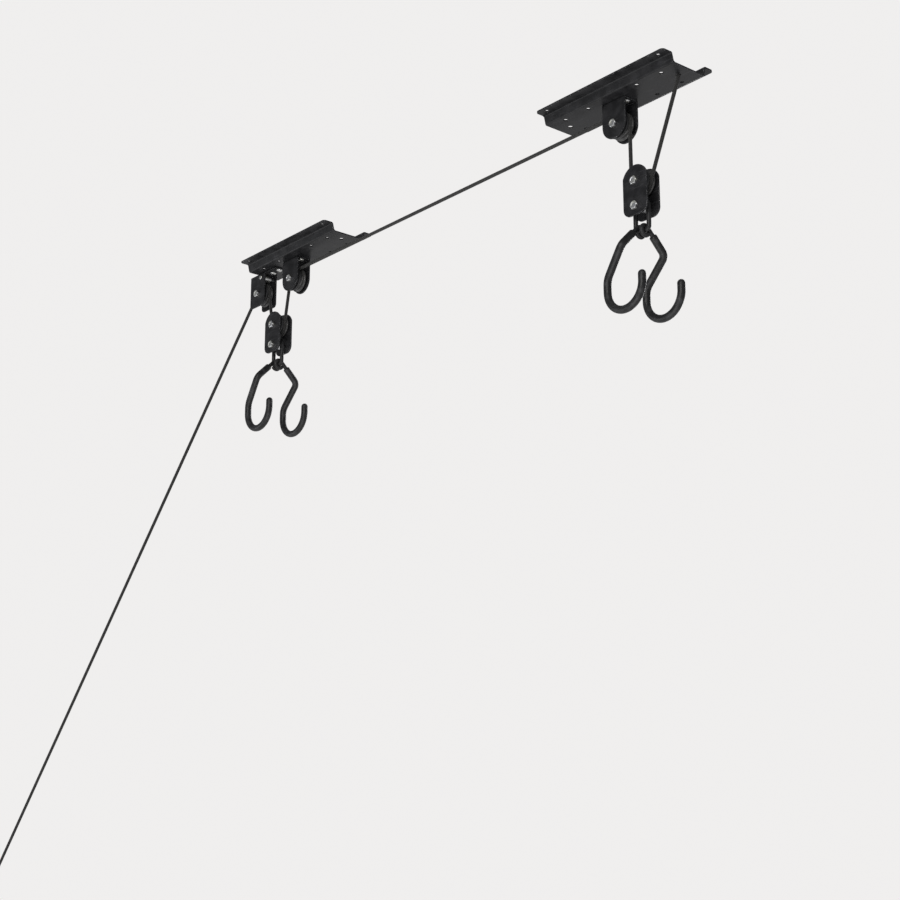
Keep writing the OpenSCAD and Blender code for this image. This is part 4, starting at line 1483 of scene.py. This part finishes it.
@dataclass
class Studio:
    """The pale floor, the soft lamps and the camera at the photograph's angle, in metres."""

    eye: Vector = point(2.0970, -1.4710, -1.0300)
    target: Vector = point(0.35077, 0.0, -0.40000)
    lamps_at: Vector = point(0.3, 0.0, -0.15)
    lens: float = 70.15
    sensor: float = 36.0
    clip: tuple[float, float] = (0.02, 120.0)
    floor_at: Vector = point(0.3, 0.0, -2.4)
    floor_half: float = 40.0
    fade: tuple[float, float] = (4.0, 24.0)
    glow: float = 0.68
    pale: tuple[float, ...] = (0.87, 0.86, 0.855, 1.0)
    tints: tuple[Colour, Colour] = ((0.40, 0.395, 0.39), (0.43, 0.425, 0.42))

    def camera(self) -> None:
        """The camera, aimed as the photograph's was."""
        data = bpy.data.cameras.new("Camera")
        data.lens, data.sensor_width = self.lens, self.sensor
        data.clip_start, data.clip_end = self.clip
        camera = linked("Camera", data)
        camera.location = self.eye
        camera.rotation_euler = (self.target - self.eye).to_track_quat("-Z", "Y").to_euler()
        bpy.context.scene.camera = camera

    def floor(self) -> None:
        """The pale floor, far below the hoist, clear from below and in the distance."""
        place, (low, high) = Matrix.Translation(self.floor_at), self.tints
        bm = bmesh.new()
        bmesh.ops.create_grid(bm, x_segments=8, y_segments=8, size=self.floor_half, matrix=place)
        mesh = bpy.data.meshes.new("studio_floor")
        bm.to_mesh(mesh)
        bm.free()
        floor = linked("studio_floor", mesh)
        material = bpy.data.materials.new("Pale floor")
        material.use_nodes = True
        graph = Graph(material.node_tree)
        tint = graph.layers(low, (graph.noise(graph.place(), 0.8, 2.0), high))
        shader = graph.node("ShaderNodeBsdfPrincipled", {
            "Base Color": tint, "Roughness": 0.9, "Emission Color": self.pale, "Emission Strength": self.glow,
        })
        below = graph.node("ShaderNodeNewGeometry").outputs["Backfacing"]
        away = graph.node("ShaderNodeVectorMath", {0: graph.place()}, operation="LENGTH").outputs["Value"]
        gone = graph.math("MAXIMUM", below, graph.ramp(away, *self.fade))
        clear = graph.node("ShaderNodeBsdfTransparent").outputs[0]
        mixed = graph.node("ShaderNodeMixShader", {0: gone, 1: shader.outputs[0], 2: clear})
        graph.node("ShaderNodeOutputMaterial", {"Surface": mixed.outputs[0]})
        mesh.materials.append(material)

    def world(self) -> None:
        """A pale world: near white where it is seen, and softer where it is mirrored or lights."""
        world = bpy.data.worlds.new("Pale studio")
        bpy.context.scene.world = world
        world.use_nodes = True
        graph = Graph(world.node_tree)
        path = graph.node("ShaderNodeLightPath").outputs
        seen = graph.math("MAXIMUM", path["Is Camera Ray"], path["Is Transmission Ray"])
        mirrored, light, shown = (
            graph.node("ShaderNodeBackground", {"Color": colour, "Strength": strength}).outputs[0]
            for colour, strength in (
                ((0.87, 0.88, 0.90, 1.0), 0.32), ((0.93, 0.95, 1.0, 1.0), 0.55), (self.pale, 1.0),
            )
        )
        dim = graph.node("ShaderNodeMixShader", {0: path["Is Glossy Ray"], 1: light, 2: mirrored}).outputs[0]
        mixed = graph.node("ShaderNodeMixShader", {0: seen, 1: dim, 2: shown}).outputs[0]
        graph.node("ShaderNodeOutputWorld", {"Surface": mixed})

    def build(self) -> None:
        """Sets up the whole studio."""
        self.camera()
        self.floor()
        self.world()
        for lamp in LAMPS:
            lamp.build(self.lamps_at)
        bpy.context.scene.view_settings.view_transform = "Standard"


# ---------------------------------------------------------------- main


class Hoist:
    """The whole hoist, built one sub-assembly at a time."""

    lock_rivets: tuple[float, float] = (-86.4, -69.0)
    rivet_offset: float = 12.0

    def dress_solids(self) -> None:
        """Gives every solid of the frame the material of its slot."""
        slots = {part["node"]: part["material_slot"] for part in frame["record"]["subparts"]}
        for name, solid in frame["nodes"].items():
            solid.data.materials.clear()
            solid.data.materials.append(MATERIALS[Finish(slots[name])])

    def rivets_at(self, axle: Vector) -> list[float]:
        """The places of a stirrup's two rivets along the bracket."""
        return [axle.x - self.rivet_offset, axle.x + self.rivet_offset]

    def build(self) -> None:
        """Makes every piece."""
        s, fasteners, sheave, bracket = SIZES, Fasteners(), Sheave(), Bracket()
        Rope().build()
        for end in End:
            bracket.plate(f"{end.value}_plate")
        for word in ("front", "lock", "rear"):
            bracket.stirrup(f"{word}_stirrup")
        fasteners.rivets("front_rivets", list(self.lock_rivets) + self.rivets_at(s.inner_axle))
        fasteners.rivets("rear_rivets", self.rivets_at(s.rear_axle))
        for word, axle in (("lock", s.lock_axle), ("front", s.inner_axle), ("rear", s.rear_axle)):
            sheave.build(f"{word}_sheave", axle, s.stirrup_gap)
            fasteners.pair(word, axle, s.stirrup_half)
        RopeLock().build(fasteners)
        for end in End:
            PulleyBlock(end).build(fasteners, sheave)
            for side in Side:
                Hook(end, side).build()


def main() -> None:
    """Builds the materials, the studio and the hoist."""
    logging.basicConfig(level=logging.INFO, format="%(name)s: %(message)s")
    groups = Groups()
    for finish, coat in FINISHES.items():
        MATERIALS[finish] = coat.build(groups)
    for body, nodes in frame["record"]["behaviour"]["bodies"].items():
        for node in nodes:
            BODY_OF[node] = body
    Studio().build()
    hoist = Hoist()
    hoist.dress_solids()
    hoist.build()


if __name__ == "__main__":
    main()
